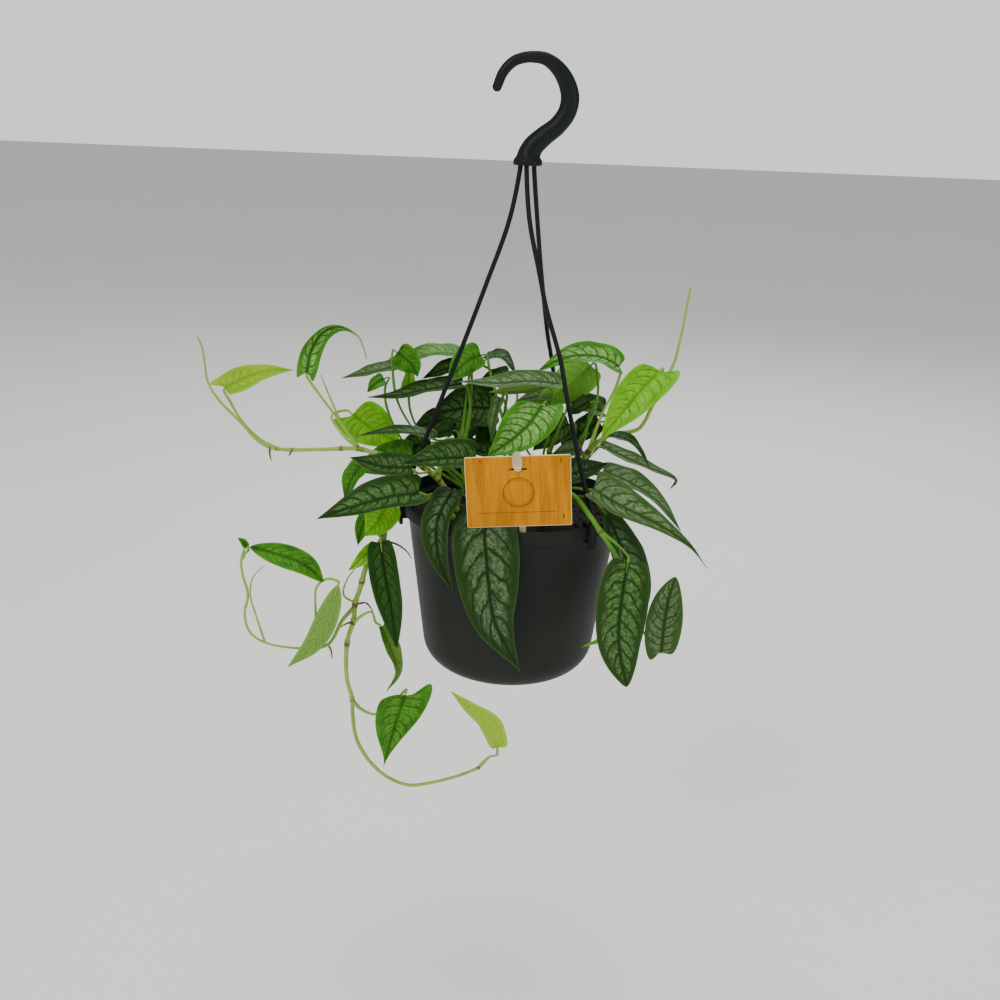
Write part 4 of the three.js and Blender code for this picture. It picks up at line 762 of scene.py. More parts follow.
def leafBlade(leaf, rows, cols, seed):
    # Rows follow t from base to tip. The half width grows as t^swell and thins as (1 - t)^taper,
    # and a drip tip is narrower still by drip * t^7.
    # Margin stations start behind the base, so the lobes close round the stalk. The halves lift
    # by fold and cup, the margin ripples, the blade puffs between its side veins, and the
    # midrib is a channel above and a keel below. Two skins meet in a thin margin.
    v, swell, taper = bladeSet, leaf["swell"], leaf["taper"]
    t = (np.linspace(0, 1, rows + 1) ** v["rowPower"])[1:-1, None]
    s = np.linspace(-1, 1, cols + 1)[None, :]
    size, hand = np.abs(s), np.sign(s)
    peak = swell / (swell + taper)
    half = t ** swell * (1 - t) ** taper / (peak ** swell * (1 - peak) ** taper)
    half = half * (1 - leaf["drip"] * t ** v["dripPower"])
    back = leaf["lobe"] * (t / v["lobeSpan"]) * np.exp(1 - t / v["lobeSpan"])
    skew = leaf["skew"] * s * (1 - t) * (1 - np.exp(-t / v["skewSpan"]))
    margin = t ** v["marginPower"] - back + skew
    share = t ** v["ribPower"] * (1 - size) + margin * size
    across = size * half
    centre, _, side, normal, length = leafFrame(leaf, share)
    reach = across * leaf["width"] / 2
    lift = (leaf["fold"] + leaf["cup"] * across) * degrees
    ripple = leaf["wave"] * across ** 2 * np.sin(v["ripples"] * t + v["rippleLag"] * (s < 0))
    turns = v["flutters"] * t + seed * v["flutterLag"] + 2 * hand
    ripple = ripple + v["flutter"] * across ** 4 * np.sin(turns)
    lag = v["sweep"] * size + v["arch"] * size ** v["archPower"]
    counts = leaf["pairs"] * (t - lag) + v["halfLag"] * (s < 0) + v["leafLag"] * seed
    calm = np.sin(math.pi * size) * np.clip(t / v["lobeSpan"], 0, 1) * (1 - t) ** 0.5
    puff = v["puff"] * leaf["width"] * np.sin(math.pi * np.abs(counts - np.round(counts))) * calm
    nearRib = np.exp(-(reach / v["ribHalf"]) ** 2) * (1 - 0.7 * t)
    thick = (v["edge"] + (v["thickness"] - v["edge"]) * (1 - size ** 6)) / 2
    up = normal * np.cos(lift)[..., None] - side * (hand * np.sin(lift))[..., None]
    base = centre + side * (hand * reach * np.cos(lift))[..., None]
    base = base + normal * (reach * np.sin(lift) + ripple)[..., None] + up * puff[..., None]
    top = (base + up * (thick - v["channel"] * nearRib)[..., None]).reshape(-1, 3)
    bottom = (base - up * (thick + v["keel"] * nearRib)[..., None]).reshape(-1, 3)
    ends = leafFrame(leaf, [0, 1])
    verts = np.vstack([top, ends[0], bottom, ends[0] - ends[3] * 0.1])
    lines, wide = rows - 1, cols + 1
    skin = lines * wide + 2
    faces = gridFaces(lines, wide) + fanFaces(skin - 2, range(wide), flip=True)
    faces += fanFaces(skin - 1, range((lines - 1) * wide, lines * wide))
    under = [[k + skin for k in f[::-1]] for f in faces]
    left, right = range(0, lines * wide, wide), range(cols, lines * wide, wide)
    rim = [skin - 2, *left, skin - 1, *right[::-1]]
    wall = [(a, a + skin, b + skin, b) for a, b in zip(rim, rim[1:] + rim[:1])]
    inward = (1 - size) * half * leaf["width"] / 2
    start = v["apart"] * seed
    blade = np.stack(np.broadcast_arrays(s, t, 0.0), -1).reshape(-1, 3)
    blade = np.vstack([blade, [[0, 0, 0], [0, 1, 0]]])
    span = np.stack([reach * hand, share * length + start, inward], -1).reshape(-1, 3)
    span = np.vstack([span, [[0, start, 0], [0, length + start, 0]]])
    phase = np.r_[counts.ravel(), 0, leaf["pairs"]]
    fields = {"blade": np.vstack([blade, blade + [0, 0, 1]]), "span": np.vstack([span, span]),
              "counts": np.r_[phase, phase]}
    return (verts, faces + under + wall), fields


def makeLeaf(name, leaf, seed, *nodes):
    # Two skins of one blade, on a finer grid where it is wide.
    rows, cols = bladeSet["fineGrid"] if leaf["width"] > bladeSet["wide"] else bladeSet["grid"]
    part, fields = leafBlade(leaf, rows, cols, seed)
    mesh = outward(makeMesh(name, [part], fields))
    # The finish is that of the leaf's look, which carries painted light and shade where it differs
    # from the tone.
    return addPiece(name, mesh, leafFinishes[leaf["look"]], "leaf_" + leaf["tone"], *nodes)


# Stems: green tubes with swollen, browner nodes, petioles that run in under each midrib,
# and thin brown aerial roots, still green where they have grown long. In mm unless noted.
stemSet = {
    "node": 0.28, "nodeLength": 2.4,                         # swelling, share of the radius
    "ridge": 0.14, "ridgeLength": 0.5, "ridgeBefore": 1.4,   # the narrow ridge just before it
    "brownNode": 1.5, "brownFoot": 34,                       # how far the brown reaches
    "foot": 1.2, "end": 0.8,                                 # petiole radius, then along its length
    "footShape": (1.25, 1, 0.86), "endShape": (1, 0.95, 1.05, 1.2, 1), "hidden": 0.4,
    "root": (0.9, 0.7, 0.55, 0.3), "rootLumps": 0.22, "youngRoot": 28,
    "brown": ("#4d391e", "#75582d"), "speck": "#5f4c24",
}
stemTones = {"pale": ("#6f9c2e", "#a3c455"), "fresh": ("#35700e", "#6a9e2c")}
freshStems = ("vine_front", "stems_front", "stems_back", "stems_left", "stems_centre",
              "stems_right")


def stemFinish(name, tones):
    # Green, streaked along, with brown where the age attribute says so, and small specks.
    f = Finish("stem_" + name, Roughness=0.45, Specular_IOR_Level=0.3, Subsurface_Weight=0.08,
               Subsurface_Scale=0.001)
    where, age = f.place(), f.attribute("age")["Fac"]
    soft = f.noise(where, 160.0, 3.0)
    fleck = f.step(f.noise(where, 900.0, 2.0), 0.68, 0.76)
    green = f.blend(soft, *map(rgb, tones))
    brown = f.blend(soft, *map(rgb, stemSet["brown"]))
    worn = f.scaled(f.minus(soft, 0.5), 0.7, age)
    coat = f.blend(f.step(worn, 0.35, 0.75), green, brown)
    f.colour(f.blend(f.times(fleck, 0.5), coat, rgb(stemSet["speck"])))
    f.roughness(f.scaled(soft, 0.3, 0.3))
    f.bump(f.plus(soft, f.times(fleck, 0.4)), 0.0002, 0.6)
    return f.material


def nearest(line, point):
    # Share of the curve's length at which it passes closest to the point.
    shares = np.linspace(0, 1, 400)
    place = alongLine(line, shares)[0]
    return shares[np.argmin(np.linalg.norm(place - np.asarray(point, float), axis=1))]


def stalkEnd(leaf):
    # The stalk comes from behind and below the blade and runs out along the midrib's keel.
    centre, along, _, normal = leafFrame(leaf, np.array([0, 0.05, 0.11]))[:4]
    back = unit(-along[0] - leaf["under"] * normal[0])
    return [centre[0] + back * 5, centre[0] + back * 1.3 - normal[0] * 0.2,
            centre[1] - normal[1] * 0.7, centre[2] - normal[2] * 0.55]


def makeVine(name, vine, finish):
    # One stem as a tube, with a tube for each petiole and root. age is 0 where it is green.
    v, parts, ages = stemSet, [], []
    line, roots = vine["line"], vine.get("roots", [])
    starts = [way[0] for way in [*vine["stalks"].values(), *roots]]
    length = alongLine(line, [0])[2]
    nodes = np.array([nearest(line, p) for p in starts])
    thick, thin = vine["radius"]

    def knots(shares):
        # A swelling with a narrow ridge at each node
        off = (shares[:, None] - nodes[None]) * length
        swell = np.exp(-(off / v["nodeLength"]) ** 2) * v["node"]
        ridge = np.exp(-((off + v["ridgeBefore"]) / v["ridgeLength"]) ** 2) * v["ridge"]
        return np.max(swell + ridge, axis=1)

    verts, faces, shares = tube(line, np.linspace(thick, thin, 9), 14, 12, knots)
    off = np.abs(shares[:, None] - nodes[None]) * length
    brown = 0.75 * np.exp(-(off.min(axis=1) / v["brownNode"]) ** 2)
    parts.append((verts, faces))
    ages.append(brown + np.clip(1 - shares * length / v["brownFoot"], 0, 1))
    radii = [v["foot"] * k for k in v["footShape"]] + [v["end"] * k for k in v["endShape"]]
    for leafName, way in vine["stalks"].items():
        points = [*way, *stalkEnd(plantLeaves[leafName])]
        verts, faces, shares = tube(points, radii + [v["hidden"]], 12, 8)
        parts.append((verts, faces))
        ages.append(np.exp(-(shares * 30) ** 2) * 0.8)
    for k, way in enumerate(roots):
        lumpy = lambda u, k=k: v["rootLumps"] * np.sin(70 * u + k) * np.sin(23 * u + 2 * k)
        verts, faces, shares = tube(way, v["root"], 8, 9, lumpy)
        parts.append((verts, faces))
        reach = np.linalg.norm(np.diff(np.array(way, float), axis=0), axis=1).sum()
        ages.append(0.2 * (1 - shares) if reach > v["youngRoot"] else 0.62 + 0.3 * shares)
    mesh = outward(makeMesh(name, parts, {"age": np.concatenate(ages)}))
    return addPiece(name, mesh, finish, "green_stem", name)


# Pot, soil, hanger and label

# The pot: radii and heights in mm. Corners are the pot's own, then how far edges are rounded.
potSet = {
    "rimTop": -275.3, "rimRadius": 75, "rimInner": 72.8, "bandHeight": 8.5,
    "neck": 70.5, "base": 58.6, "corner": 21, "depth": 119, "wall": 1.6,
    "footInner": 29, "footOuter": 36.5, "footHeight": 3, "footEdge": 0.5, "footFillet": 0.6,
    "lip": 1.0, "lipInner": 0.6, "bandEdge": 0.7,
    "drain": 4, "drainCircle": 18, "drainCount": 5, "segments": 160,
    "tint": ("#1c201c", "#282b27"), "rough": 0.42, "dusty": 0.45,
}
dustColour = "#484c42"
potBottom = potSet["rimTop"] - potSet["depth"]
bandBottom = potSet["rimTop"] - potSet["bandHeight"]


def plasticFinish(name, v):
    # Charcoal plastic: a soft moulded grain, faint rubbed marks, and dust that thickens upwards.
    f = Finish(name, Specular_IOR_Level=0.1)
    where = f.place()
    grain = f.noise(where, 900.0, 3.0, 0.6)
    rub = f.noise(f.node("Mapping", where, None, None, (1.0, 1.0, 0.18)).outputs[0], 55.0, 4.0, 0.6)
    height = f.split(where)[2]
    rimward = f.step(height, potBottom * mm, potSet["rimTop"] * mm)
    speck = f.step(f.noise(where, 420.0, 4.0, 0.75), 0.66, 0.74)
    cloud = f.step(f.noise(where, 24.0, 3.0), 0.45, 0.8)
    powder = f.times(speck, f.scaled(rimward, 0.6, 0.25))
    powder = f.times(f.scaled(cloud, 0.2, powder), v["dusty"])
    base = f.blend(rub, *map(rgb, v["tint"]))
    f.colour(f.blend(powder, base, rgb(dustColour)))
    f.roughness(f.scaled(rub, 0.16, f.scaled(powder, 0.4, v["rough"])))
    f.bump(f.scaled(powder, 1.5, grain), 0.00006, 0.7)
    return f.material


def makePot(finish):
    # A turned shell with a rolled rim band, a round bottom corner, a foot ring and drain holes.
    v = potSet
    cornerR, cornerZ, top = v["base"] - v["corner"], potBottom + v["corner"], v["rimTop"]
    inner, outer, foot = v["footInner"], v["footOuter"], potBottom - v["footHeight"]
    edge, fillet, lip, wall = v["footEdge"], v["footFillet"], v["lip"], v["wall"]
    profile = [[0, potBottom], [inner - fillet, potBottom], [inner, potBottom - fillet],
               [inner, foot + edge], [inner + edge, foot], [outer - edge, foot],
               [outer, foot + edge], [outer, potBottom - fillet], [outer + fillet, potBottom]]
    profile += arcPoints(cornerR, cornerZ, v["corner"], -88, -8, 16)
    wallLow, wallTop = np.array(profile[-1]), np.array([v["neck"], bandBottom - 1.0])
    profile += [(wallLow + (wallTop - wallLow) * k / 6).tolist() for k in range(1, 7)]
    profile += [[v["neck"] + 0.6, bandBottom - 0.2], [v["neck"] + 1.6, bandBottom]]
    bandEdge, inside = v["bandEdge"], v["lipInner"]
    profile += arcPoints(v["rimRadius"] - bandEdge, bandBottom + bandEdge, bandEdge, -90, 0, 4)
    profile += arcPoints(v["rimRadius"] - lip, top - lip, lip, 0, 90, 5)
    profile += arcPoints(v["rimInner"] + inside, top - inside, inside, 90, 180, 3)
    profile += [[v["rimInner"], bandBottom + 2], [v["rimInner"] - 0.6, bandBottom + 0.6],
                [v["neck"] - wall, bandBottom - 1]]
    profile += arcPoints(cornerR, cornerZ, v["corner"] - wall, -8, -90, 12)
    profile += [[0, potBottom + wall]]
    mesh = outward(makeMesh("pot", [turnedRings(profile, v["segments"])]))
    drills, radius = [], v["drain"]
    for cosine, sine in zip(*circle(v["drainCount"])):
        verts, faces = turnedRings([[0, -4], [radius, -4], [radius, 4], [0, 4]], 32)
        centre = [v["drainCircle"] * cosine, v["drainCircle"] * sine, potBottom + wall / 2]
        drills.append((verts + centre, faces))
    mesh = applied("pot", mesh, boolean("DIFFERENCE", *drills))
    return addPiece("pot_shell", shadeByAngle(mesh, 40), finish, "black_plastic", "pot")


# The soil, in mm: its top under the rim, the mound in the middle, and the crumbs strewn on it
soilSet = {
    "depth": 12.5, "mound": 2.2, "lumps": 1.2, "gap": 0.35, "rings": 84, "around": 200,
    "crumbs": 420, "crumb": (0.35, 1.5), "long": (0.8, 2.0), "flat": (0.5, 0.9), "uneven": 0.25,
    "seed": 7, "peat_and_shade": ("#0e0a07", "#2c2017"), "fibre": "#4c3826",
}


def soilFinish():
    # Dark peat: fine crumbs in several browns, with pale fibres; the darker brown lies in the
    # hollows as painted shade.
    f = Finish("potting_soil", Roughness=0.95)
    where = f.place()
    coarse, fine = f.noise(where, 240.0, 6.0, 0.7), f.noise(where, 1100.0, 5.0, 0.7)
    # The two browns follow the coarse bump: the darker one fills the low places, a painted shade in
    # the hollows.
    peat_and_shade = f.blend(f.step(coarse, 0.3, 0.7), *map(rgb, soilSet["peat_and_shade"]))
    f.colour(f.blend(f.times(f.step(fine, 0.5, 0.75), 0.6), peat_and_shade, rgb(soilSet["fibre"])))
    f.bump(f.scaled(coarse, 1.5, fine), 0.0008, 1.0)
    return f.material


def lumps(x, y, seed, count=26, finest=0.9):
    # A sum of waves in seeded directions; a wave's height falls as its rate^-0.45.
    draw = np.random.default_rng(seed)
    angle, phase = draw.uniform(0, 2 * math.pi, count), draw.uniform(0, 2 * math.pi, count)
    rate = np.geomspace(0.12, finest, count)
    wave = np.sin((x[..., None] * np.cos(angle) + y[..., None] * np.sin(angle)) * rate + phase)
    return (wave * (0.12 / rate) ** 0.45).sum(-1) / count ** 0.5


def makeSoil(finish):
    # The fill of the pot: its top is a low mound with lumps, strewn with small crumbs.
    v, p = soilSet, potSet
    gap = p["wall"] + v["gap"]
    edge, top = p["neck"] - gap - 1.4, p["rimTop"] - v["depth"]
    cornerR, cornerZ = p["base"] - p["corner"], potBottom + p["corner"]
    profile = [[0, potBottom + gap]] + arcPoints(cornerR, cornerZ, p["corner"] - gap, -90, -8, 8)
    profile += [[r, top] for r in edge * np.linspace(1, 1 / v["rings"], v["rings"])] + [[0, top]]
    verts, faces = turnedRings(profile, v["around"])
    r = np.hypot(verts[:, 0], verts[:, 1])
    onTop = verts[:, 2] > top - 0.01
    rise = v["mound"] * (1 - r / edge) + v["lumps"] * lumps(verts[:, 0], verts[:, 1], v["seed"])
    verts[:, 2] += np.where(onTop, rise * np.clip((edge - r) / 3, 0, 1), 0)
    parts = [(verts, faces)]
    draw = np.random.default_rng(v["seed"])
    ball, cells = icoBall()
    spots = np.column_stack([np.sqrt(draw.uniform(0, 1, v["crumbs"])) * (edge - 2.5),
                             draw.uniform(0, 2 * math.pi, v["crumbs"])])
    for radius, angle in spots:
        size = draw.uniform(*v["crumb"]) * np.array([draw.uniform(*v["long"]), 1,
                                                     draw.uniform(*v["flat"])])
        turn = draw.uniform(0, math.pi)
        shape = ball * (1 + draw.uniform(-v["uneven"], v["uneven"], (len(ball), 1))) * size
        x = shape[:, 0] * math.cos(turn) - shape[:, 1] * math.sin(turn)
        y = shape[:, 0] * math.sin(turn) + shape[:, 1] * math.cos(turn)
        at = np.array([radius * math.cos(angle), radius * math.sin(angle)])
        high = top + v["mound"] * (1 - radius / edge)
        high += v["lumps"] * lumps(at[:1], at[1:], v["seed"])[0]
        parts.append((np.column_stack([x + at[0], y + at[1], shape[:, 2] + high]), cells))
    mesh = outward(makeMesh("soil_fill", parts))
    return addPiece("soil_fill", mesh, finish, "potting_soil", "soil")


def icoBall():
    # Twelve points of an icosahedron and its twenty faces.
    g = (1 + 5 ** 0.5) / 2
    points = [(-1, g, 0), (1, g, 0), (-1, -g, 0), (1, -g, 0), (0, -1, g), (0, 1, g),
              (0, -1, -g), (0, 1, -g), (g, 0, -1), (g, 0, 1), (-g, 0, -1), (-g, 0, 1)]
    cells = [(0, 11, 5), (0, 5, 1), (0, 1, 7), (0, 7, 10), (0, 10, 11), (1, 5, 9), (5, 11, 4),
             (11, 10, 2), (10, 7, 6), (7, 1, 8), (3, 9, 4), (3, 4, 2), (3, 2, 6), (3, 6, 8),
             (3, 8, 9), (4, 9, 5), (2, 4, 11), (6, 2, 10), (8, 6, 7), (9, 8, 1)]
    return np.array(points) / (1 + g * g) ** 0.5, [list(c) for c in cells]


# Hook line from its tip: x, y, z and half width; the rod is shallower from front to back.
hookLine = [
    [-20.6, 0, -14.5, 2.9], [-17.2, 0, -6, 3.1], [-11.5, 0, 0.2, 3.2], [-5.2, 0, 2.8, 3.3],
    [0.6, 0, 3.5, 3.5], [8, 0, 2.7, 3.9], [15.4, 0, -2, 4.6], [21.3, 0, -10, 5.3],
    [24.1, 0, -19, 5.7], [22.6, 0, -28, 5.7], [17, 0, -36, 5.7], [9, 0, -42.6, 6.1],
    [3, 0, -48.6, 6.6], [0.3, 0, -54.6, 7.2], [0, 0, -59.4, 7.6],
]
# The collar's flare: how far each point is in from its radius and up from its bottom
collarFlare = [(0, 2.6), (0.3, 3.4), (1.2, 4.6), (2.2, 6.4), (3, 9)]
hangerSet = {
    "deep": 0.86, "collar": 9, "collarBottom": -60, "collarEdge": 0.8, "sides": 36,
    "socketDepth": 4, "socketRadius": 2.3, "strand": 1.5, "gap": 0.35,
    "clipWidth": 6.4, "clipThickness": 2.3, "clipLength": 4, "clipLip": 2, "clipEdge": 0.5,
    "tint": ("#191c1c", "#212525"), "rough": 0.3, "dusty": 0.1,
}


def makeHook(finish):
    # A rounded rod of changing width bent to a question mark, joined to a flared collar.
    v, line = hangerSet, np.array(hookLine, float)
    shares = np.linspace(0, 1, 150)
    place, ahead, _ = alongLine(line, shares)
    side = np.column_stack([ahead[:, 2], 0 * shares, -ahead[:, 0]])
    half, (cosines, sines) = place[:, 3], circle(v["sides"])
    cap = np.linspace(80, 10, 7) * degrees                # the rounded tip ahead of the first ring
    centres = np.vstack([place[0, :3] - ahead[0] * (np.sin(cap) * half[0])[:, None], place[:, :3]])
    sides = np.vstack([np.repeat(side[:1], len(cap), 0), side])
    widths = np.r_[np.cos(cap) * half[0], half]
    rings = centres[:, None] + sides[:, None] * (widths[:, None] * cosines)[..., None]
    rings = rings + np.array([0, 1.0, 0]) * (v["deep"] * widths[:, None] * sines)[..., None]
    rod = closedRings(rings, [place[0, :3] - ahead[0] * half[0], place[-1, :3]])
    low, wide, edge = v["collarBottom"], v["collar"], v["collarEdge"]
    profile = [[0, low], [wide - 0.9, low]]
    profile += arcPoints(wide - edge, low + edge, edge, -80, 0, 4)
    profile += [[wide - step, low + high] for step, high in collarFlare]
    profile += [[0, low + collarFlare[-1][1]]]
    depth, radius = v["socketDepth"], v["socketRadius"]
    drill, cells = turnedRings([[0, -depth], [radius, -depth], [radius, depth], [0, depth]], 24)
    sockets = [(drill + [*strand["line"][1][:2], low], cells) for strand in strands.values()]
    mesh = applied("hook", outward(makeMesh("rod", [rod])),
                   boolean("UNION", turnedRings(profile, 72)), boolean("DIFFERENCE", *sockets))
    return addPiece("hook", shadeByAngle(mesh, 45), finish, "black_plastic", "hanger_hook")


def makeStrand(side, strand, finish):
    # A round moulded strand from its socket to a clip that grips the rim band from both sides.
    v, p = hangerSet, potSet
    angle = strand["angle"] * degrees
    end = p["rimRadius"] + 1.3
    points = strand["line"] + [[end * math.cos(angle), end * math.sin(angle), p["rimTop"] + 1.8]]
    cord, cordFaces, _ = tube(points, [v["strand"]] * 4, 18, 14)
    grip, low = p["rimRadius"] + v["gap"], bandBottom - v["gap"]
    outer, under = grip + v["clipThickness"], low - v["clipThickness"]
    inner, top = p["rimInner"] - 0.9, p["rimTop"] + v["gap"]
    roof, foot = top + v["clipThickness"], under - v["clipLength"]
    tip, lip = p["rimTop"] - v["clipLength"], inner - v["clipLip"]
    outline = [[lip, roof], [outer, roof], [outer, foot], [grip, foot], [grip, under],
               [p["neck"] + 1.2, under], [p["neck"] + 1.2, low], [grip, low], [grip, top],
               [inner, top], [inner, tip], [lip, tip]]
    verts, faces = slab(outline, -v["clipWidth"] / 2, v["clipWidth"] / 2)
    cosine, sine = math.cos(angle), math.sin(angle)
    turn = np.array([[cosine, sine, 0], [-sine, cosine, 0], [0, 0, 1]])
    clip = outward(makeMesh("clip", [(verts @ turn, faces)]))
    clip = applied("clip", clip, bevel(v["clipEdge"], 3))
    mesh = applied("strand_" + side, clip, boolean("UNION", (cord, cordFaces)))
    mesh = shadeByAngle(mesh, 40)
    return addPiece("strand_" + side, mesh, finish, "black_plastic", "hanger_strand_" + side)


# The label, in mm and degrees: the card, its slot, and the stake behind it
labelSet = {
    "width": 64, "height": 46, "thickness": 0.8, "corner": 0.9, "edge": 0.1, "border": 0.35,
    "slotWidth": 11.0, "slotHeight": 1.2, "slotBelowTop": 8.6,
    "centre": (2.2, -78.5, -247.2), "lean": 5, "tilt": 4.3, "stakeTilt": 6.5, "gap": 0.35,
    "stakeWidth": 4, "stakeThickness": 1, "bend": 22, "bendAngle": 12, "length": 40, "point": 8,
    "neck": 0.7, "headHalf": 3.2, "headHigh": 6.6, "headAbove": 5.4,
}
# What is printed on the card: knots of the boards as (across, up, half width, half height), a
# ruled line and a double ring, in mm from the middle, and their inks
printSet = {
    "knots": [(26.0, 19.6, 0.7, 3.0), (27.0, -17.0, 0.8, 2.6), (-22.5, 20.0, 0.5, 2.0)],
    "ruleBelow": 13.6, "ruleLeft": 1.6, "ruleHalf": 24.2, "rings": (9.4, 8.2), "ringsBelow": 0.6,
    "wood": ("#bf7604", "#d89408"), "board": "#9a5a06", "stain": "#6a3c06", "knot": "#2c1a08",
    "ink": "#3a2a14", "bare": "#e9d9a6", "stake": ("#d6c69c", "#bfa876"),
}
# The head's dome from front to back: share of its size, and share of the thickness to the front
headDome = [(0.75, 0.46), (0.93, 0.3), (1.0, 0.0), (0.96, -0.36), (0.88, -0.5)]


def turnX(angle):
    # The turn about X that lifts +Y towards +Z (degrees)
    cosine, sine = math.cos(angle * degrees), math.sin(angle * degrees)
    return np.array([[1, 0, 0], [0, cosine, -sine], [0, sine, cosine]])


def leaned(points, tilt, centre):
    # Turns drawn points by tilt about Y and by the lean about X, then moves them to the centre.
    b = -tilt * degrees
    turnY = np.array([[math.cos(b), 0, math.sin(b)], [0, 1, 0], [-math.sin(b), 0, math.cos(b)]])
    return np.asarray(points) @ (turnX(labelSet["lean"]) @ turnY).T + np.array(centre)


def hung(mesh, tilt, centre):
    # Leans a mesh that is drawn upright and gives back the points as drawn, in mm.
    points = np.empty(len(mesh.vertices) * 3, np.float32)
    mesh.vertices.foreach_get("co", points)
    drawn = points.reshape(-1, 3) / mm
    mesh.vertices.foreach_set("co", (leaned(drawn, tilt, centre) * mm).ravel())
    mesh.update()
    return drawn


def slab(outline, y0, y1):
    # The outline in x and z, carried from y0 to y1.
    outline, count = np.asarray(outline, float), len(outline)
    verts = np.vstack([np.insert(outline, 1, y, axis=1) for y in (y0, y1)])
    faces = [list(range(count)), list(range(count, 2 * count))[::-1]]
    faces += [[k, count + k, count + (k + 1) % count, (k + 1) % count] for k in range(count)]
    return verts, faces


def roundedOutline(width, height, corner, count=6):
    # A rectangle about the origin, its corners round.
    x, z = width / 2 - corner, height / 2 - corner
    turns = [(x, z, 0), (-x, z, 90), (-x, -z, 180), (x, -z, 270)]
    return [p for x, z, start in turns for p in arcPoints(x, z, corner, start, start + 90, count)]


def cardFinish():
    # Printed boards: fine upright grain in amber, dark knots of ink by the right edge, a thin
    # ruled line, a plain double ring, and a bare cream edge. card = (mm across, mm up, 0), both
    # from the middle.
    p, f = printSet, Finish("label_card", Roughness=0.5, Specular_IOR_Level=0.08)
    where = f.attribute("card")["Vector"]
    x, z = f.split(where)[0], f.split(where)[1]
    grain = f.noise(f.join(f.times(x, 1.9), f.times(z, 0.045), 0.0), 1.0, 4.0, 0.7)
    board = f.noise(f.join(f.times(x, 0.16), f.times(z, 0.02), 3.0), 1.0, 2.0)
    wood = f.blend(f.step(grain, 0.3, 0.75), *map(rgb, p["wood"]))
    wood = f.blend(f.times(f.step(board, 0.42, 0.62), 0.45), wood, rgb(p["board"]))
    stain = f.noise(f.join(f.times(x, 0.9), f.times(z, 0.16), 8.0), 1.0, 3.0)
    wood = f.blend(f.times(f.step(stain, 0.62, 0.75), 0.5), wood, rgb(p["stain"]))

    def spot(atX, atZ, wide, high):
        # 1 in the middle of a small upright oval, 0 outside it
        dx = f.math("DIVIDE", f.minus(x, atX), wide)
        dz = f.math("DIVIDE", f.minus(z, atZ), high)
        far = f.math("SQRT", f.plus(f.times(dx, dx), f.times(dz, dz)))
        return f.step(f.scaled(f.minus(stain, 0.5), 1.4, far), 1.0, 0.2)

    knots = reduce(f.most, [spot(*knot) for knot in p["knots"]])
    wood = f.blend(f.times(knots, 0.8), wood, rgb(p["knot"]))
    rule = f.times(f.step(f.size(f.plus(z, p["ruleBelow"])), 0.3, 0.12),
                   f.step(f.size(f.plus(x, p["ruleLeft"])), p["ruleHalf"] + 0.4, p["ruleHalf"]))
    far = f.math("POWER", f.plus(z, p["ringsBelow"]), 2.0)
    far = f.math("SQRT", f.plus(f.times(x, x), far))
    ring = f.step(f.size(f.minus(far, p["rings"][0])), 0.45, 0.25)
    inner = f.step(f.size(f.minus(far, p["rings"][1])), 0.22, 0.1)
    ink = f.times(f.most(f.most(ring, inner), rule), f.step(f.noise(where, 1.4, 3.0), 0.32, 0.5))
    wood = f.blend(f.times(ink, 0.8), wood, rgb(p["ink"]))
    v = labelSet
    outX = f.minus(f.size(x), v["width"] / 2 - v["border"])
    outZ = f.minus(f.size(z), v["height"] / 2 - v["border"])
    border = f.step(f.most(outX, outZ), -0.05, 0.15)
    f.colour(f.blend(border, wood, rgb(p["bare"])))
    f.roughness(f.scaled(grain, 0.2, 0.38))
    f.bump(f.plus(grain, ink), 0.00004, 0.6)
    return f.material


def makeCard(finish):
    # A thin board with rounded corners and a slot for the stake's head.
    v = labelSet
    half = v["thickness"] / 2
    board = slab(roundedOutline(v["width"], v["height"], v["corner"]), -half, half)
    slotZ = v["height"] / 2 - v["slotBelowTop"]
    hole = slab(np.array(roundedOutline(v["slotWidth"], v["slotHeight"], 0.5)) + [0, slotZ], -3, 3)
    mesh = applied("card", outward(makeMesh("card", [board])), boolean("DIFFERENCE", hole),
                   bevel(v["edge"], 2), ("TRIANGULATE", {}))
    drawn = hung(mesh, v["tilt"], v["centre"])
    card = mesh.attributes.new("card", "FLOAT_VECTOR", "POINT")
    flat = np.column_stack([drawn[:, 0], drawn[:, 2], 0 * drawn[:, 0]])
    card.data.foreach_set("vector", flat.ravel())
    return addPiece("card", shadeByAngle(mesh, 30), finish, "label_card", "label_card")


def stakeFinish():
    # White plastic, slightly yellowed, in soft blotches of two creams.
    f = Finish("label_stake", Roughness=0.4, Specular_IOR_Level=0.2, Subsurface_Weight=0.05,
               Subsurface_Scale=0.001)
    where = f.place()
    soft = f.noise(where, 90.0, 3.0)
    f.colour(f.blend(f.step(soft, 0.35, 0.75), *map(rgb, printSet["stake"])))
    f.roughness(f.scaled(soft, 0.2, 0.3))
    f.bump(f.noise(where, 700.0, 2.0), 0.00004, 0.6)
    return f.material


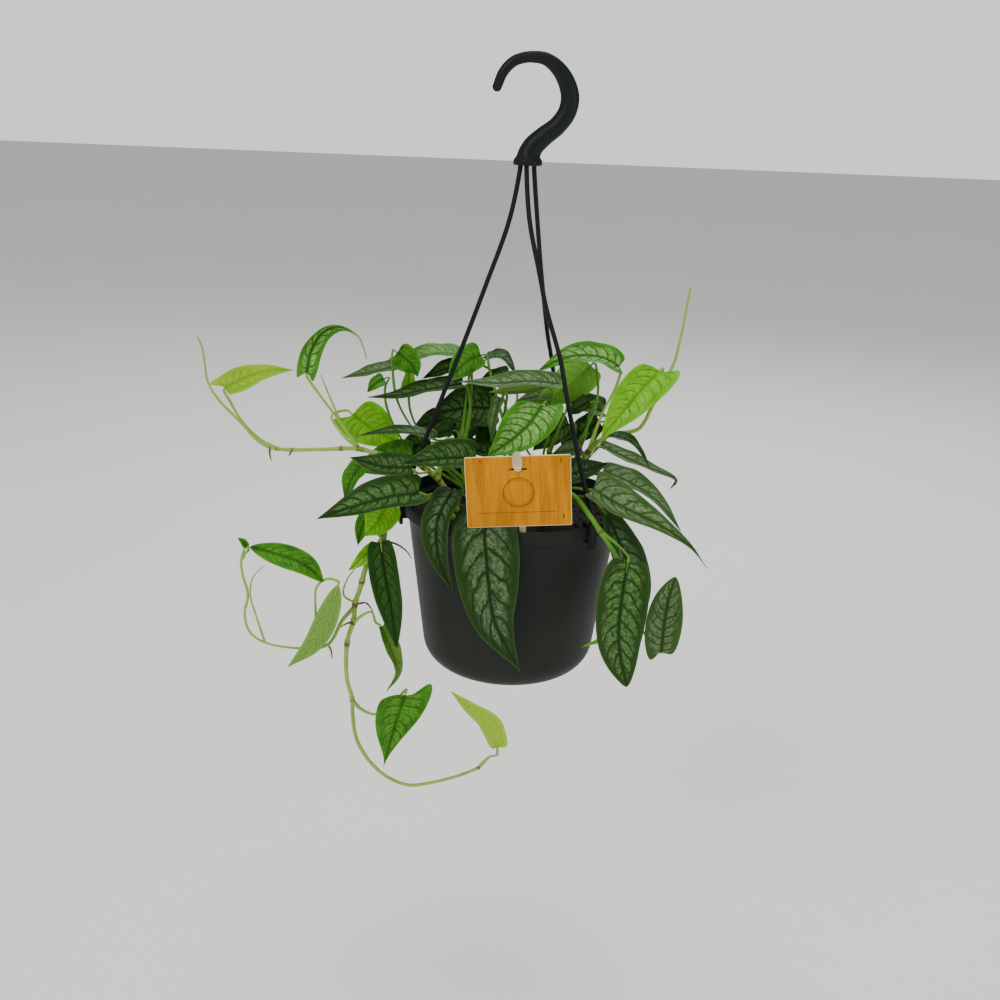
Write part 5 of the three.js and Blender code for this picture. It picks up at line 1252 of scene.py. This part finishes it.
def makeStake(finish):
    # An oval domed head in front of the card, a neck through the slot, and a flat stake behind
    # that turns in towards the soil and runs to a point.
    v = labelSet
    behind = v["thickness"] / 2 + v["gap"] + v["stakeThickness"] / 2
    half, t, low = v["stakeWidth"] / 2, v["stakeThickness"], v["point"] - v["length"]
    lower = slab([[-half, 0.4], [-half, low], [0, -v["length"]], [half, low], [half, 0.4]],
                 -t / 2, t / 2)
    lower = (lower[0] @ turnX(v["bendAngle"]).T + [0, behind, -v["bend"]], lower[1])
    upper = slab([[-half, -v["bend"]], [half, -v["bend"]], [half, 0.6], [-half, 0.6]],
                 behind - t / 2, behind + t / 2)
    high = v["neck"] / 2
    neck = slab([[-half, -high], [half, -high], [half, high], [-half, high]],
                -behind - t / 2, behind + t / 2)
    cosines, sines = circle(40)
    rings = [np.column_stack([v["headHalf"] * r * cosines, np.full(40, -behind - t * front),
                              v["headAbove"] + v["headHigh"] * r * sines]) for r, front in headDome]
    ends = [[0, -behind - t / 2, v["headAbove"]], [0, -behind + t / 2, v["headAbove"]]]
    parts = (upper, neck, closedRings(np.array(rings), ends))
    mesh = applied("stake", outward(makeMesh("stake", [lower])),
                   *[boolean("UNION", part) for part in parts])
    hang = leaned([[0, 0, v["height"] / 2 - v["slotBelowTop"]]], v["tilt"], v["centre"])[0]
    hung(mesh, v["stakeTilt"], hang)
    return addPiece("stake", shadeByAngle(mesh, 40), finish, "label_stake", "label_stake")


# Stage and light
stageSet = {"floor": -0.66, "size": 14.0, "seenAir": 1.15, "airLight": 0.62, "glossAir": 0.18,
            "lampAim": (0, 0, -0.28), "ground": ("#f1f0ec", "#f6f5f2"), "air": "#f6f7f8"}
lights = {
    "key": {"place": (-1.3, -1.9, 1.3), "size": 1.5, "power": 34},
    "fill": {"place": (1.8, -1.3, 0.3), "size": 1.6, "power": 12},
    "back": {"place": (0.4, 1.8, 1.2), "size": 1.4, "power": 22},
    "top": {"place": (0.0, -0.1, 1.9), "size": 1.2, "power": 14},
}


def makeStage():
    # A pale floor well below the hanging pot, soft lamps aimed at the pot, and even air light.
    v = stageSet
    corners = np.array([[-1, -1, 0], [1, -1, 0], [1, 1, 0], [-1, 1, 0]]) * v["size"]
    corners[:, 2] = v["floor"]
    mesh = bpy.data.meshes.new("floor")
    mesh.from_pydata(corners.tolist(), [], [(0, 1, 2, 3)])
    f = Finish("floor", Roughness=0.9)
    f.colour(f.blend(f.noise(f.place(), 3.0, 2.0), *map(rgb, v["ground"])))
    mesh.materials.append(f.material)
    floor = bpy.data.objects.new("floor", mesh)
    bpy.context.collection.objects.link(floor)
    world = bpy.data.worlds.new("air")
    world.use_nodes = True
    air = world.node_tree.nodes["Background"]
    air.inputs[0].default_value = rgb(v["air"])
    # The air is bright behind the plant, softer as light, and dimmest where it is mirrored.
    rays = world.node_tree.nodes.new("ShaderNodeLightPath").outputs
    strength = v["airLight"]
    for ray, level in (("Is Glossy Ray", v["glossAir"]), ("Is Camera Ray", v["seenAir"])):
        swap = world.node_tree.nodes.new("ShaderNodeMix")
        world.node_tree.links.new(rays[ray], swap.inputs[0])
        if isinstance(strength, float):
            swap.inputs[2].default_value = strength
        else:
            world.node_tree.links.new(strength, swap.inputs[2])
        swap.inputs[3].default_value = level
        strength = swap.outputs[0]
    world.node_tree.links.new(strength, air.inputs[1])
    bpy.context.scene.world = world
    for name, lamp in lights.items():
        data = bpy.data.lights.new(name, "AREA")
        data.shape, data.size, data.energy = "DISK", lamp["size"], lamp["power"]
        lampObject = bpy.data.objects.new(name, data)
        aim = np.array(v["lampAim"]) - np.array(lamp["place"])
        back = -aim / np.linalg.norm(aim)
        right = np.cross([0.01, 0.02, 1.0], back)
        right /= np.linalg.norm(right)
        turned = Matrix(np.column_stack([right, np.cross(back, right), back]).tolist()).to_4x4()
        lampObject.matrix_world = Matrix.Translation(lamp["place"]) @ turned
        bpy.context.collection.objects.link(lampObject)


makeStage()
print("stage and lamps set")

hangerPlastic = plasticFinish("hanger_plastic", hangerSet)
makePot(plasticFinish("pot_plastic", potSet))
makeHook(hangerPlastic)
for strandSide, strand in strands.items():
    makeStrand(strandSide, strand, hangerPlastic)
print("pot and hanger made")

makeSoil(soilFinish())
makeCard(cardFinish())
makeStake(stakeFinish())
print("soil and label made")

leafFinishes = {name: leafFinish(name, dict(zip(toneKeys, tone)))
                for name, tone in leafTones.items()}
plantLeaves = {**leaves, **innerLeaves}
for seed, (leafName, leaf) in enumerate(plantLeaves.items()):
    nodes = [leafName] if leafName in leaves else []
    makeLeaf(leafName.replace("leaf_", "blade_"), leaf, seed, *nodes)
print(len(plantLeaves), "leaves made")

stemFinishes = {name: stemFinish(name, tones) for name, tones in stemTones.items()}
for vineName, vine in stems.items():
    makeVine(vineName, vine, stemFinishes["fresh" if vineName in freshStems else "pale"])
    for k, bud in enumerate(vine.get("buds", [])):
        makeLeaf(f"bud_{vineName}_{k}", bud, 50 + k)
print(len(stems), "stems made")
